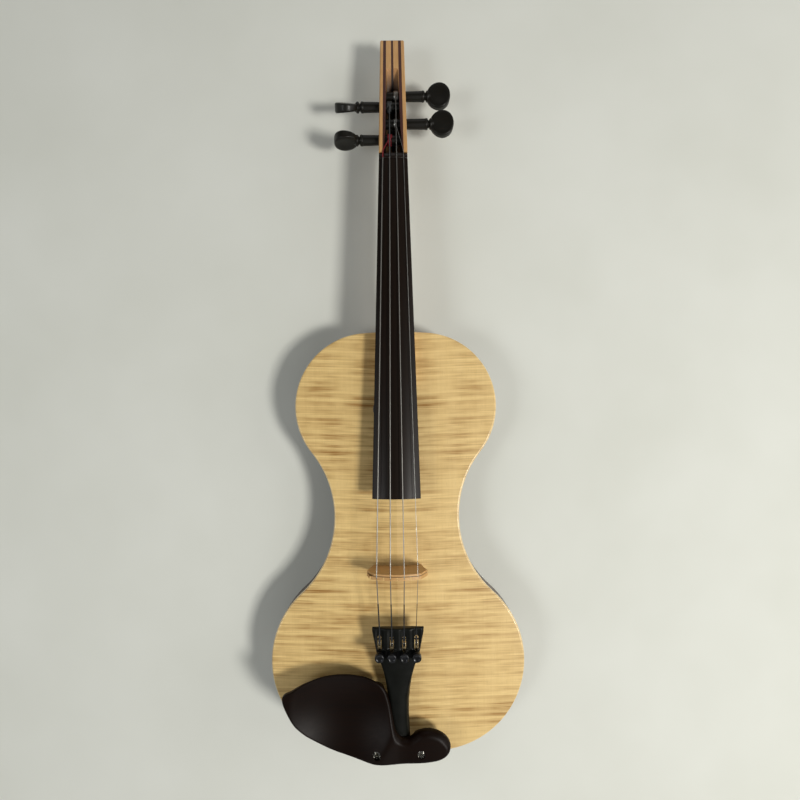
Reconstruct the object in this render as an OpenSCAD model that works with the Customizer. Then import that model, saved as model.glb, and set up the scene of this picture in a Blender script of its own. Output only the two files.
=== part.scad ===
// Electric violin with a chin rest, lying on its back.
// +X is the treble side, +Y runs towards the head, +Z out of the top plates.
// The origin is the middle of the footprint, at the level of the flat back.

/* [Body] */
// Length of the body
body_len = 344; // [338:1:350]
// Width of the upper bout
upper_w = 163.6; // [160:0.2:168]
// Width of the lower bout
lower_w = 205.6; // [202:0.2:209]
// Radius of the upper flanks
upper_r = 60; // [58:0.5:62]
// Radius of the lower flanks
lower_r = 74; // [72:0.5:76]
// Radius of the waist curve
waist_r = 84; // [80:0.5:88]
// Thickness of the body at its edge
body_t = 38; // [37:0.5:40]
// Thickness of the two maple top plates
top_t = 2.5; // [2:0.1:3]
// Radius that rounds the sides into the back
back_r = 16; // [14:0.5:17]

/* [Neck and head] */
// Distance from the body edge to the back of the nut
neck_len = 142; // [138:1:145]
// Length of the head beyond the nut
head_len = 96; // [92:1:98]
// Width of the head at its plain end
head_w = 19.4; // [18.6:0.2:20.4]
// Width of the neck at the nut
nut_w = 23; // [22.6:0.2:24]
// Width of the neck at the body
heel_w = 30.4; // [29:0.2:31]
// Length of the tenon inside the body
tenon_len = 46; // [42:1:48]

/* [Fingerboard and strings] */
// Length of the fingerboard
board_len = 270; // [262:1:274]
// Width of the fingerboard at its free end
board_w = 38; // [37:0.5:40]
// Thickness of the fingerboard along its edges
board_edge = 4.8; // [4:0.2:5.4]
// Radius of the playing surface across the strings
board_r = 42; // [40:1:44]
// String length from the nut to the bridge
string_len = 328; // [326:1:330]
// Distance between the outer strings at the nut
nut_spread = 16.6; // [16:0.2:17]
// Distance between the outer strings at the bridge
bridge_spread = 31.6; // [30:0.2:33]
// Distance between the outer strings at the tailpiece
tail_spread = 28.8; // [28:0.2:30]

/* [Bridge] */
// Width of the bridge at its feet
bridge_foot_w = 39.4; // [38:0.2:41]
// Width of the bridge across its wings
bridge_wing_w = 47.6; // [46:0.2:49]
// Height of the middle strings above the top plates
bridge_h = 31.5; // [30:0.5:33]

/* [Pegs] */
// Width of a peg head across its thumb piece
peg_head_w = 21.2; // [20:0.2:21.4]
// Radius of a peg where it enters the head
peg_r = 3.75; // [3.6:0.05:3.9]
// Clearance round a peg in its bore
peg_fit = 0.05; // [0.03:0.01:0.08]
// Turn of the g peg's thumb piece from upright
peg_turn_g = 95; // [0:5:180]
// Turn of the d peg's thumb piece from upright
peg_turn_d = 60; // [0:5:180]

/* [Tailpiece and tuners] */
// Length of the tailpiece
tail_len = 100; // [96:1:102]
// Slope of the tailpiece towards its tail end
tail_tilt = 5; // [4:0.5:6]
// Diameter of a tuner screw's knurled head
knob_d = 7.4; // [7:0.1:7.8]

/* [Chin rest] */
// Height of the chin rest's rim above the top plates
rest_h = 25; // [24:0.5:27]
// Distance between the two chin rest bolts
bolt_gap = 34.6; // [33:0.2:36]

/* [Electrics] */
// Diameter of the volume wheel
wheel_d = 20; // [19:0.2:20.4]
// Bore radius of the output jack, for a 6.35 mm plug
jack_r = 3.2; // [3.18:0.01:3.25]
// Depth of the output jack's bore
jack_len = 31; // [30:0.5:32]

/* [Hidden] */
$fn = 48;
e = 0.01;
far = 200;

// Stations along the instrument
button_out = 9;
total_len = body_len + neck_len + head_len + button_out;
y_bottom = button_out - total_len / 2;
y_edge = y_bottom + body_len;
y_nut = y_edge + neck_len;
y_head = y_nut + head_len;
nut_len = 5.4;
y_board = y_nut - nut_len;
y_board_end = y_board - board_len;
y_tenon = y_edge - tenon_len;
y_bridge = y_board - string_len;
afterlength = 41;
y_tail = y_bridge - afterlength;

// Levels
z_plate = body_t - top_t;
under_nut = 41.2;
under_slope = 0.0415;
function under(y) = under_nut + (y_board - y) * under_slope;
function sagitta(r, x) = r - sqrt(r * r - x * x);
function board_half(y) = nut_w / 2 + (board_w - nut_w) / 2 * (y_board - y) / board_len;
function board_top(y, x = 0) = under(y) + board_edge + sagitta(board_r, board_half(y)) - sagitta(board_r, x);
z_bridge = body_t + bridge_h;

// Strings from bass to treble
string_r = [0.42, 0.4, 0.36, 0.2];
function spread(w, i) = -w / 2 + w * i / 3;
nut_lift = 0.5;
function string_nut_z(i) = board_top(y_board, spread(nut_spread, i)) + nut_lift + string_r[i];
function string_bridge_z(i) = z_bridge - sagitta(board_r, spread(bridge_spread, i));

// Pegs from bass to treble: distance behind the nut, and the side that the head is on
peg_at = [14.6, 43.2, 52.2, 28.2];
peg_side = [-1, -1, 1, 1];
peg_turn = [peg_turn_g, peg_turn_d, 0, 0];
cheek_z = 46.4;
head_slope = 0.104;
peg_depth = 9.5;
function peg_y(i) = y_nut + peg_at[i];
function peg_z(i) = cheek_z - head_slope * peg_at[i] - peg_depth;
peg_taper = 1 / 60;
winding_w = [4.2, 4.2, 4, 3];
winding_r = [1, 0.9, 0.8, 0.5];

// Tuners, measured back from the front edge of the tailpiece and down from its top
pin_u = 12;
screw_u = 22.5;
tail_front_z = 59.5;
tail_t = 9;

//
// Outline of the body: five arcs a side, each tangent to the next
//
upper_c = [upper_w / 2 - upper_r, y_edge - 60.8];
lower_c = [lower_w / 2 - lower_r, y_bottom + 76.6];
waist_reach = [upper_r + waist_r, lower_r + waist_r];
bout_gap = norm(upper_c - lower_c);
waist_along = (waist_reach[0] ^ 2 - waist_reach[1] ^ 2 + bout_gap ^ 2) / (2 * bout_gap);
waist_off = sqrt(waist_reach[0] ^ 2 - waist_along ^ 2);
bout_dir = (lower_c - upper_c) / bout_gap;
waist_c = upper_c + waist_along * bout_dir + waist_off * [-bout_dir[1], bout_dir[0]];
function end_radius(x, a, r) = (x * x + a * a - r * r) / (2 * (a - r));
top_r = end_radius(upper_c[0], y_edge - upper_c[1], upper_r);
bottom_r = end_radius(lower_c[0], lower_c[1] - y_bottom, lower_r);
top_c = [0, y_edge - top_r];
bottom_c = [0, y_bottom + bottom_r];
function angle_of(v) = atan2(v[1], v[0]);
a_bottom = angle_of(lower_c - bottom_c);
a_lower = angle_of(waist_c - lower_c);
a_upper = angle_of(waist_c - upper_c);
a_top = angle_of(upper_c - top_c);
function arc(c, r, a0, a1, n, first = 1) =
    [for (i = [first:n]) let (a = a0 + (a1 - a0) * i / n) [c[0] + r * cos(a), c[1] + r * sin(a)]];
// Treble half of the outline from the bottom to the top, moved inwards by d
function half_outline(d) = concat(
    arc(bottom_c, bottom_r - d, -90, a_bottom, 4, 0),
    arc(lower_c, lower_r - d, a_bottom, a_lower, 14),
    arc(waist_c, waist_r + d, a_lower + 180, a_upper + 180, 9),
    arc(upper_c, upper_r - d, a_upper, a_top, 13),
    arc(top_c, top_r - d, a_top, 90, 3));
function outline(d) = let (h = half_outline(d), n = len(h))
    concat(h, [for (i = [n - 2:-1:1]) [-h[i][0], h[i][1]]]);

//
// Helpers
//
// Closed solid through rings of equal length. The caps of rings that are mirrored about X = 0 are
// closed row by row, because their outline is hollow at the waist.
module loft(rings, mirrored = false) {
    n = len(rings[0]);
    m = len(rings);
    h = n / 2;
    rows = mirrored ? concat([[0, 1, n - 1]], [for (i = [1:h - 2]) [i, i + 1, n - i - 1, n - i]], [[h - 1, h, h + 1]])
        : [[for (i = [0:n - 1]) i]];
    polyhedron(
        points = [for (ring = rings) each ring],
        faces = concat(
            rows,
            [for (k = [0:m - 2], i = [0:n - 1]) let (j = (i + 1) % n)
                each [[k * n + i, (k + 1) * n + i, (k + 1) * n + j], [k * n + i, (k + 1) * n + j, k * n + j]]],
            [for (row = rows) [for (i = [len(row) - 1:-1:0]) (m - 1) * n + row[i]]]),
        convexity = 6);
}
function unit(v) = v / norm(v);
function heading(p, i) = let (n = len(p) - 1)
    unit((i < n ? unit(p[i + 1] - p[i]) : [0, 0, 0]) + (i > 0 ? unit(p[i] - p[i - 1]) : [0, 0, 0]));
// Round cord of radius r along the points p, with its rings turned by the reference side
function cord_rings(p, r, side, sides) = [for (i = [0:len(p) - 1])
    let (t = heading(p, i), u = unit(side - (side * t) * t), w = cross(t, u))
    [for (k = [0:sides - 1]) p[i] + r * cos(360 * k / sides) * u - r * sin(360 * k / sides) * w]];
module cord(p, r, side = [1, 0, 0], sides = 8) loft(cord_rings(p, r, side, sides));
// Smooth closed curve through hand-chosen points
function spline_point(a, b, c, d, t) = 0.5 * (2 * b + (c - a) * t + (2 * a - 5 * b + 4 * c - d) * t * t
    + (3 * b - a - 3 * c + d) * t * t * t);
function closed_curve(p, steps) = let (n = len(p)) [for (i = [0:n - 1], k = [0:steps - 1])
    spline_point(p[(i + n - 1) % n], p[i], p[(i + 1) % n], p[(i + 2) % n], k / steps)];
module block(low, high) translate(low) cube(high - low);
module rod_x(x0, x1, y, z, r) translate([x0, y, z]) rotate([0, 90, 0]) cylinder(h = x1 - x0, r = r);
module rod_y(y0, y1, x, z, r) translate([x, y0, z]) rotate([-90, 0, 0]) cylinder(h = y1 - y0, r = r);
module plan(z0, z1) translate([0, 0, z0]) linear_extrude(z1 - z0) children();
// Profile drawn in Y and Z, pushed out along X
module profile_x(x0, x1) translate([x0, 0, 0]) rotate([90, 0, 90]) linear_extrude(x1 - x0) children();

//
// Body
//
pot_at = [-8.3, y_tenon - 17];
pocket_r = 13;
cover_size = [36, 40];
cover_t = 2.4;
jack_y = lower_c[1];
jack_z = 19;
jack_recess = 3.6;
jack_barrel_r = 7.5;
jack_face = lower_w / 2 - jack_recess;
bolt_y = y_bottom + 11.5;
tenon_floor = 8;
lead_r = 2.6;
lead_z = 26;
jack_lead_z = 17;
groove_half = 3.4;
jack_end = [jack_face - jack_len - 4, jack_y];
lead_corner = [0, y_bridge - 2];

// Grooves for the leads, routed from above before the top plates are glued on
module lead_grooves() {
    block([-groove_half, lead_corner[1] - 2, lead_z - 4.6], [groove_half, pot_at[1] - pocket_r + 3, body_t]);
    span = jack_end - lead_corner;
    translate([lead_corner[0], lead_corner[1], jack_lead_z - lead_r]) rotate(angle_of(span))
        block([-lead_r, -lead_r, 0], [norm(span), lead_r, body_t]);
    rod_x(jack_end[0] - 6, far, jack_y, jack_z, jack_barrel_r + 0.05);
}

module screw_places() {
    for (x = [-1, 1], y = [-1, 1])
        translate([pot_at[0] + x * (cover_size[0] / 2 - 3.5), pot_at[1] + y * (cover_size[1] / 2 - 3.5), 0])
            children();
}

module body_shell() color("#2e1d10") {
    levels = [for (t = [0:15:90]) [back_r * (1 - sin(t)), back_r * (1 - cos(t))]];
    difference() {
        loft(concat(
            [for (v = levels) [for (q = outline(v[0])) [q[0], q[1], v[1]]]],
            [[for (q = outline(0)) [q[0], q[1], z_plate]]]), mirrored = true);
        block([-heel_w / 2 - e, y_tenon, tenon_floor], [heel_w / 2 + e, y_edge + 1, body_t]);
        translate([pot_at[0], pot_at[1], -1]) cylinder(h = far, r = pocket_r);
        block([pot_at[0] - cover_size[0] / 2, pot_at[1] - cover_size[1] / 2, -1],
            [pot_at[0] + cover_size[0] / 2, pot_at[1] + cover_size[1] / 2, cover_t]);
        screw_places() cylinder(h = 7.2, r = 1.2);
        lead_grooves();
        rod_x(jack_face, far, jack_y, jack_z, 11);
        rod_y(y_bottom - 1, y_bottom + 26, 0, jack_z, 4.05);
        block([-17, y_bottom - 1, z_plate - 3], [17, y_bottom + 6, body_t]);
        for (s = [-1, 1]) translate([s * bolt_gap / 2, bolt_y, z_plate - 14]) cylinder(h = 20, r = 3);
    }
}

// One half of the top: side is +1 for treble, -1 for bass
module top_plate(side) {
    difference() {
        plan(z_plate, body_t) polygon([for (q = half_outline(0)) [side * q[0], q[1]]]);
        block([-heel_w / 2 - e, y_tenon, 0], [heel_w / 2 + e, y_edge + 1, far]);
        block([-17, y_bottom - 1, 0], [17, y_bottom + 6, far]);
        translate([pot_at[0], pot_at[1], 0]) cylinder(h = far, r = 3.5);
        translate([0, y_bridge, 0]) cylinder(h = far, r = lead_r);
        for (s = [-1, 1]) translate([s * bolt_gap / 2, bolt_y, 0]) cylinder(h = far, r = 3);
    }
}
module top_plate_bass() color("#d3ab66") top_plate(-1);
module top_plate_treble() color("#dfc083") top_plate(1);

module cavity_cover() color("#1c1c1c") {
    difference() {
        block([pot_at[0] - cover_size[0] / 2 + 0.2, pot_at[1] - cover_size[1] / 2 + 0.2, 0.2],
            [pot_at[0] + cover_size[0] / 2 - 0.2, pot_at[1] + cover_size[1] / 2 - 0.2, cover_t]);
        screw_places() cylinder(h = far, r = 1.4);
        screw_places() translate([0, 0, -e]) cylinder(h = 1.4, r1 = 2.9, r2 = 1.4);
    }
}
module cover_screws() color("#b9bbbd") screw_places() {
    difference() {
        union() {
            translate([0, 0, 0.3]) cylinder(h = 1.1, r1 = 2.5, r2 = 1.15);
            translate([0, 0, 1.3]) cylinder(h = 5.6, r = 1.15);
        }
        block([-0.3, -1.6, 0], [0.3, 1.6, 0.8]);
        block([-1.6, -0.3, 0], [1.6, 0.3, 0.8]);
    }
}

//
// Neck and head: seven laminations cut from one carved shape
//
// Half width at each end of the straight runs
plan_half = [[y_head, head_w / 2], [y_nut, nut_w / 2], [y_edge, heel_w / 2], [y_tenon, heel_w / 2]];
function neck_half(y) = lookup(y, plan_half);
// Along Y: level of the underside and how square the section is
neck_stations = [
    [y_head, 21.5, 7], [y_nut + 60, 20.5, 7], [y_nut + 24, 21.5, 7], [y_nut + 12, 23.5, 5],
    [y_nut + 3, 27, 3], [y_nut - 10, 28.6, 2.3], [y_edge + 75, 30, 2.2], [y_edge + 32, 31.6, 2.2],
    [y_edge + 22, 30.4, 2.3], [y_edge + 14, 26, 2.6], [y_edge + 7, 17, 3.2], [y_edge + 1.5, 9, 5],
    [y_edge, tenon_floor, 8]
];
function neck_roof(y) = y > y_nut ? cheek_z - head_slope * (y - y_nut) : under(y) + 4;
neck_steps = 16;
function neck_ring(s) = let (w = neck_half(s[0]), top = neck_roof(s[0]), d = top - s[1])
    [for (k = [neck_steps:-1:0]) let (a = 180 * k / neck_steps, c = cos(a), v = sin(a))
        [w * sign(c) * pow(abs(c), 2 / s[2]), s[0], top - d * pow(abs(v), 2 / s[2])]];

module neck_carved() {
    difference() {
        union() {
            loft([for (s = neck_stations) neck_ring(s)]);
            block([-heel_w / 2, y_tenon, tenon_floor], [heel_w / 2, y_edge, far]);
        }
        profile_x(-far, far) polygon([[y_tenon - 1, under(y_tenon - 1)], [y_nut, under(y_nut)],
            [y_nut, 3 * far], [y_tenon - 1, 3 * far]]);
        slot_space();
        for (i = [0:3]) peg_place(i) cylinder(h = 60, center = true,
            r1 = peg_r + peg_fit - 30 * peg_taper, r2 = peg_r + peg_fit + 30 * peg_taper);
    }
}
// Room between the cheeks, with a ramp up to the solid end of the head
module slot_space() intersection() {
    profile_x(-far, far) polygon([[y_nut, 33], [y_nut + 8, 30], [y_nut + 24, 27], [y_nut + 54.5, 26],
        [y_nut + 72.8, 40], [y_nut + 72.8, far], [y_nut, far]]);
    plan(0, far) polygon([[-8.4, y_nut - e], [-7.4, y_nut + 6], [-6.1, y_nut + 20], [-4.6, y_nut + 75],
        [4.6, y_nut + 75], [6.1, y_nut + 20], [7.4, y_nut + 6], [8.4, y_nut - e]]);
}
// Strip of the neck between two shares of its half width
module lamination(f0, f1) {
    intersection() {
        neck_carved();
        plan(-1, far) polygon(concat(
            [for (p = plan_half) [f0 * p[1], p[0] + (p[0] == y_head ? 1 : 0)]],
            [for (k = [len(plan_half) - 1:-1:0]) let (p = plan_half[k])
                [f1 * p[1], p[0] + (p[0] == y_head ? 1 : 0)]]));
    }
}
// Shares of the half width where one strip ends and the next starts
share = [0.09, 0.5, 0.74, 1.05];
module neck_maple_bass_outer() color("#c79d63") lamination(-share[3], -share[2]);
module neck_dark_bass() color("#3d1d0d") lamination(-share[2], -share[1]);
module neck_maple_bass_inner() color("#c79d63") lamination(-share[1], -share[0]);
module neck_dark_centre() color("#3d1d0d") lamination(-share[0], share[0]);
module neck_maple_treble_inner() color("#c79d63") lamination(share[0], share[1]);
module neck_dark_treble() color("#3d1d0d") lamination(share[1], share[2]);
module neck_maple_treble_outer() color("#c79d63") lamination(share[2], share[3]);

module fingerboard() color("#17110c") {
    intersection() {
        difference() {
            plan(0, far) polygon([[-nut_w / 2, y_board], [-board_w / 2, y_board_end],
                [board_w / 2, y_board_end], [nut_w / 2, y_board]]);
            profile_x(-far, far) polygon([[y_board_end - 1, under(y_board_end - 1)], [y_board + 1, under(y_board + 1)],
                [y_board + 1, 0], [y_board_end - 1, 0]]);
        }
        loft([for (y = [y_board_end - 1, y_board + 1]) let (w = board_w / 2 + 1, top = board_top(y)) concat(
            [for (k = [-12:12]) [w * k / 12, y, top - sagitta(board_r, w * k / 12)]],
            [[w, y, 0], [-w, y, 0]])]);
    }
}

module nut() color("#0e0d0c") {
    difference() {
        intersection() {
            profile_x(-nut_w / 2, nut_w / 2) polygon([
                [y_board + e, under(y_board)], [y_nut, under(y_nut)], [y_nut, cheek_z + 0.6],
                [y_nut - 1.6, board_top(y_board) + 1.2], [y_board + e, board_top(y_board) + 1.2]]);
            rod_y(y_board - 1, y_nut + 1, 0, board_top(y_board) + 0.9 - board_r, board_r);
        }
        for (i = [0:3]) cord(nut_groove(i), string_r[i] + 0.02);
    }
}
function nut_groove(i) = [
    [nut_back_x(i), y_nut + 0.5, string_nut_z(i) - 0.6],
    [spread(nut_spread, i), y_nut - 2, string_nut_z(i)],
    [spread(nut_spread, i), y_board - 1, string_nut_z(i) + 0.06]];
function nut_back_x(i) = spread(nut_spread, i) * 0.97;

module saddle() color("#0e0d0c") {
    difference() {
        profile_x(-17, 17) polygon([[y_bottom + 0.2, z_plate - 3], [y_bottom + 6, z_plate - 3],
            [y_bottom + 6, body_t + 1], [y_bottom + 4, body_t + 3.4], [y_bottom + 1.6, body_t + 3.4],
            [y_bottom + 0.2, body_t + 2]]);
        for (s = [-1, 1]) cord(loop_side(s), loop_r + 0.05);
    }
}

//
// Tail: button, loop, tailpiece and tuners
//
button_neck_r = 4.4;
loop_r = 0.9;
loop_half = 5;
loop_exit = 3.6;
loop_depth = 5;
module end_button() color("#0e0d0c") translate([0, y_bottom, jack_z]) rotate([90, 0, 0])
    rotate_extrude() polygon([[0, -24], [3.6, -24], [3.9, 0.1], [6, 0.2], [6, 1.2], [button_neck_r, 1.8],
        [button_neck_r, 4], [6.4, 5], [7, 6.2], [6.6, 7.8], [4.6, 8.8], [0, button_out]]);

// Top of the tailpiece across its width, and a point u behind its front edge and d below that edge
tail_r = 60;
function tail_arch(x) = 1 - sagitta(tail_r, x);
function tail_point(x, u, d) = [x, y_tail - u * cos(tail_tilt) + d * sin(tail_tilt),
    tail_front_z - u * sin(tail_tilt) - d * cos(tail_tilt)];
// One leg of the tail loop, from the tailpiece over the saddle to the button's neck
function loop_side(s) = [
    tail_point(s * loop_exit, tail_len - 7, loop_depth), tail_point(s * loop_exit, tail_len + 0.4, loop_depth),
    [s * loop_half, y_bottom + 5, body_t + 3.6 + loop_r * 0.3], [s * loop_half, y_bottom + 1.4, body_t + 3.5],
    [s * loop_half, y_bottom - 0.6, body_t + 1.2], [s * loop_half, y_bottom - 1.4, body_t - 5],
    [s * (button_neck_r + 1), y_bottom - 2.9, jack_z + 6], [s * (button_neck_r + 1), y_bottom - 2.9, jack_z]];
function loop_path() = let (leg = loop_side(1), other = [for (k = [7:-1:0]) loop_side(-1)[k]])
    concat(leg, [for (a = [-20:-20:-160]) [(button_neck_r + 1) * cos(a), y_bottom - 2.9,
        jack_z + (button_neck_r + 1) * sin(a)]], other);
module tail_loop() color("#d8cfae") cord(loop_path(), loop_r, [0, -1, 0.35], 8);
module tail_loop_nuts() color("#b08d3c") for (s = [-1, 1])
    tail_frame() translate([s * loop_exit, -tail_len + 7.8, -loop_depth]) rotate([90, 0, 0]) difference() {
        cylinder(h = 4, r = 1.8);
        translate([0, 0, -1]) cylinder(h = 9, r = loop_r + 0.12);
    }

// Frame of the tailpiece: origin at the top of its front edge, +Y towards the bridge
module tail_frame() translate([0, y_tail, tail_front_z]) rotate([tail_tilt, 0, 0]) children();
tail_half = [[0, 20], [-18, 17.6], [-25, 16.4], [-32, 13], [-42, 10.6], [-54, 8.9], [-68, 8.2], [-84, 8.6],
    [-94, 9], [-99, 7.6], [-tail_len, 5]];
function tail_edge(s) = [for (p = tail_half) [s * p[1], p[0]]];
module tail_plan() polygon(concat(tail_edge(1), [for (k = [len(tail_half) - 1:-1:0]) tail_edge(-1)[k]]));
module tailpiece() color("#15161a") tail_frame() {
    difference() {
        intersection() {
            plan(-tail_t, 2) tail_plan();
            rod_y(-tail_len - 1, 1, 0, 1 - tail_r, tail_r);
            profile_x(-far, far) polygon([[1, -8], [1, 2], [-far, 2], [-far, -9], [-36, -9]]);
        }
        plan(-far, -2.6) polygon([[-17.4, -3], [17.4, -3], [15.9, -24.8], [13.6, -29], [-13.6, -29], [-15.9, -24.8]]);
        block([-5.6, -tail_len + 3, -far], [5.6, -tail_len + 12, -3]);
        for (i = [0:3]) {
            x = spread(tail_spread, i);
            block([x - 1.5, -20.2, -far], [x + 1.5, -8, 3]);
            translate([x, -screw_u, -far]) cylinder(h = 2 * far, r = 1.3);
            block([x - 0.55, -8.5, tail_arch(x) - 0.7], [x + 0.55, 1, 3]);
        }
        rod_x(-18, 18, -pin_u, -5, 0.8);
        for (s = [-1, 1]) rod_y(-tail_len - 1, -tail_len + 4, s * loop_exit, -loop_depth, loop_r + 0.15);
    }
}
module tuner_pin() color("#c8c9cb") tail_frame() rod_x(-16.6, 16.6, -pin_u, -5, 0.75);

module tuner_lever(i) color("#b9bbbd") tail_frame() translate([spread(tail_spread, i), 0, 0]) {
    fork = tail_arch(spread(tail_spread, i)) + 0.4;
    difference() {
        profile_x(-1, 1) polygon([[-9.6, -6.8], [-screw_u - 1.6, -6.8], [-screw_u - 1.6, -5.6], [-15.6, -5.6],
            [-15.6, fork], [-12.6, fork], [-11.4, -3.6], [-9.6, -4]]);
        rod_x(-2, 2, -pin_u, -5, 0.8);
        block([-0.5, -14.4, fork - 2.4], [0.5, -10, fork + 1]);
    }
}
module tuner_screw(i) color("#101010") tail_frame() translate([spread(tail_spread, i), -screw_u, 0]) {
    translate([0, 0, -5.4]) cylinder(h = 8, r = 1.22);
    translate([0, 0, 2.2]) difference() {
        cylinder(h = 5, d = knob_d);
        block([-0.4, -far, 4.2], [0.4, far, 6]);
    }
}
module tuner_lever_g() tuner_lever(0);
module tuner_lever_d() tuner_lever(1);
module tuner_lever_a() tuner_lever(2);
module tuner_lever_e() tuner_lever(3);
module tuner_screw_g() tuner_screw(0);
module tuner_screw_d() tuner_screw(1);
module tuner_screw_a() tuner_screw(2);
module tuner_screw_e() tuner_screw(3);

//
// Bridge: two plates with the pickup film between them
//
bridge_front_t = 1.5;
bridge_film_t = 0.5;
bridge_back_t = 2.6;
y_face = y_bridge + bridge_front_t + bridge_film_t / 2;
wing_z = body_t + 17;
module bridge_outline(drop = 0) polygon(concat(
    [[bridge_foot_w / 2, body_t], [bridge_wing_w / 2 - drop, wing_z - 1.2], [bridge_wing_w / 2 - drop, wing_z]],
    [for (k = [6:-1:-6]) let (x = (bridge_spread / 2 + 2.4) * k / 6)
        [x, z_bridge - drop - sagitta(board_r, x) + 0.1]],
    [[-bridge_wing_w / 2 + drop, wing_z], [-bridge_wing_w / 2 + drop, wing_z - 1.2], [-bridge_foot_w / 2, body_t],
     [-10, body_t], [-8.5, body_t + 3.6], [8.5, body_t + 3.6], [10, body_t]]));
module bridge_plate(y0, y1, drop = 0) translate([0, y1, 0]) rotate([90, 0, 0]) linear_extrude(y1 - y0) bridge_outline(drop);
module string_notches() for (i = [0:3]) cord(bridge_run(i), string_r[i] + 0.02);
function bridge_run(i) = [for (y = [y_bridge + 4, y_bridge - 5]) [spread(bridge_spread, i), y, string_bridge_z(i)]];
module bridge_front() color("#b9925c") difference() {
    bridge_plate(y_face - bridge_front_t, y_face);
    string_notches();
    rod_y(y_bridge - 5, y_bridge + 5, 0, body_t, lead_r);
}
module bridge_back() color("#c49c66") difference() {
    bridge_plate(y_face - bridge_front_t - bridge_film_t - bridge_back_t, y_face - bridge_front_t - bridge_film_t);
    string_notches();
    for (i = [0:3]) {
        x = spread(bridge_spread, i) - bridge_spread / 6;
        block([x - 0.55, y_bridge - 6, z_bridge - sagitta(board_r, x) - 9], [x + 0.55, y_bridge + 6, far]);
    }
    rod_y(y_bridge - 5, y_bridge + 5, 0, body_t, lead_r);
}
module bridge_pickups() color("#24160c") difference() {
    bridge_plate(y_face - bridge_front_t - bridge_film_t, y_face - bridge_front_t, 0.7);
    rod_y(y_bridge - 5, y_bridge + 5, 0, body_t, lead_r);
}

//
// Electrics
//
function pickup_path() = concat(
    [[0, y_bridge, body_t + 3.4], [0, y_bridge, body_t - 2], [0, y_bridge, lead_z + 3.5]],
    [for (a = [22.5:22.5:67.5]) [0, y_bridge + 3.5 - 3.5 * cos(a), lead_z + 3.5 - 3.5 * sin(a)]],
    [[0, y_bridge + 3.5, lead_z], [0, y_bridge + 60, lead_z], [0, pot_at[1] - 16, lead_z],
     [-1, pot_at[1] - 12, lead_z - 1], [-3, pot_at[1] - 9.5, lead_z - 3]]);
module pickup_lead() color("#1b1b1b") cord(pickup_path(), 0.8, [1, 0, 0]);
function on_run(t, z) = [lead_corner[0] + t * (jack_end[0] - lead_corner[0]), lead_corner[1] + t * (jack_end[1]
    - lead_corner[1]), z];
function jack_path() = [[-5, pot_at[1] - 9.6, 21.6], [-1.4, pot_at[1] - 12, 22.9], [0.9, pot_at[1] - 16, 23.6],
    [0.9, y_bridge + 6, 23.6], on_run(0.03, 22.4), on_run(0.12, 17.4), on_run(0.5, 16.6), on_run(0.92, 17.6),
    [jack_end[0] - 3, jack_y + 1.4, jack_z - 0.4], [jack_end[0] - 0.8, jack_y, jack_z]];
module jack_lead() color("#1b1b1b") cord(jack_path(), 0.8, [0, 0, 1]);

module volume_pot() color("#8d8f92") translate([pot_at[0], pot_at[1], 0]) difference() {
    union() {
        translate([0, 0, 20]) cylinder(h = 8.5, r = 8.2);
        translate([0, 0, 28.5]) cylinder(h = z_plate - 28.5 + top_t + 1.6, r = 3.45);
        translate([0, 0, 28.5]) cylinder(h = z_plate - 28.5 - 0.4, r = 6);
    }
    translate([0, 0, 24]) cylinder(h = far, r = 2.05);
}
module pot_nut() color("#b9bbbd") translate([pot_at[0], pot_at[1], body_t]) difference() {
    cylinder(h = 1.5, r = 5, $fn = 6);
    translate([0, 0, -1]) cylinder(h = 4, r = 3.5);
}
module volume_shaft() color("#b9bbbd") translate([pot_at[0], pot_at[1], 24.2]) cylinder(h = 19.3, r = 2);
module volume_wheel() color("#141414") translate([pot_at[0], pot_at[1], 40.2]) difference() {
    cylinder(h = 4.4, d = wheel_d);
    translate([0, 0, -1]) cylinder(h = 4.3, r = 2.02);
    for (k = [0:35]) rotate(10 * k) translate([wheel_d / 2 + 0.3, 0, -1]) cylinder(h = 8, r = 0.7);
}
module output_jack() color("#8d8f92") difference() {
    union() {
        rod_x(jack_end[0], jack_face + 0.4, jack_y, jack_z, 7);
        rod_x(jack_face, jack_face + 0.8, jack_y, jack_z, 9.4);
        rod_x(jack_face, jack_face + 3, jack_y, jack_z, 5);
    }
    rod_x(jack_face + 3 - jack_len, far, jack_y, jack_z, jack_r);
}
module jack_nut() color("#c8c9cb") difference() {
    translate([jack_face + 0.8, jack_y, jack_z]) rotate([0, 90, 0]) cylinder(h = 1.6, r = 7.4, $fn = 6);
    rod_x(jack_face, far, jack_y, jack_z, 5.03);
}

//
// Pegs
//
// Puts a child's +Z along a peg, from the middle of the head outwards to its thumb piece
module peg_place(i) translate([0, peg_y(i), peg_z(i)]) rotate([0, peg_side[i] * 90, 0]) children();
shaft_out = [13.2, 13.2, 13.2, 15.2];
module peg(i) color("#141312") peg_place(i) rotate(peg_turn[i]) {
    half = neck_half(peg_y(i));
    collar = half + shaft_out[i];
    foot = -half + 0.2;
    translate([0, 0, foot]) cylinder(h = collar - foot, r1 = peg_r + foot * peg_taper, r2 = peg_r + collar * peg_taper);
    translate([0, 0, collar - e]) rotate_extrude() polygon([[0, 0], [4.1, 0], [4.4, 1], [4.1, 2.2], [3, 2.8],
        [3, 3.4], [4.2, 4.2], [4.4, 5.2], [3.8, 6.4], [2.7, 7.4], [0, 7.4]]);
    intersection() {
        translate([-4, 0, collar + 13.4]) rotate([0, 90, 0]) cylinder(h = 8, d = peg_head_w);
        block([-9, -20, collar + 4.4], [9, 20, collar + 23.2]);
    }
}
module peg_g() peg(0);
module peg_d() peg(1);
module peg_a() peg(2);
module peg_e() peg(3);
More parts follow.
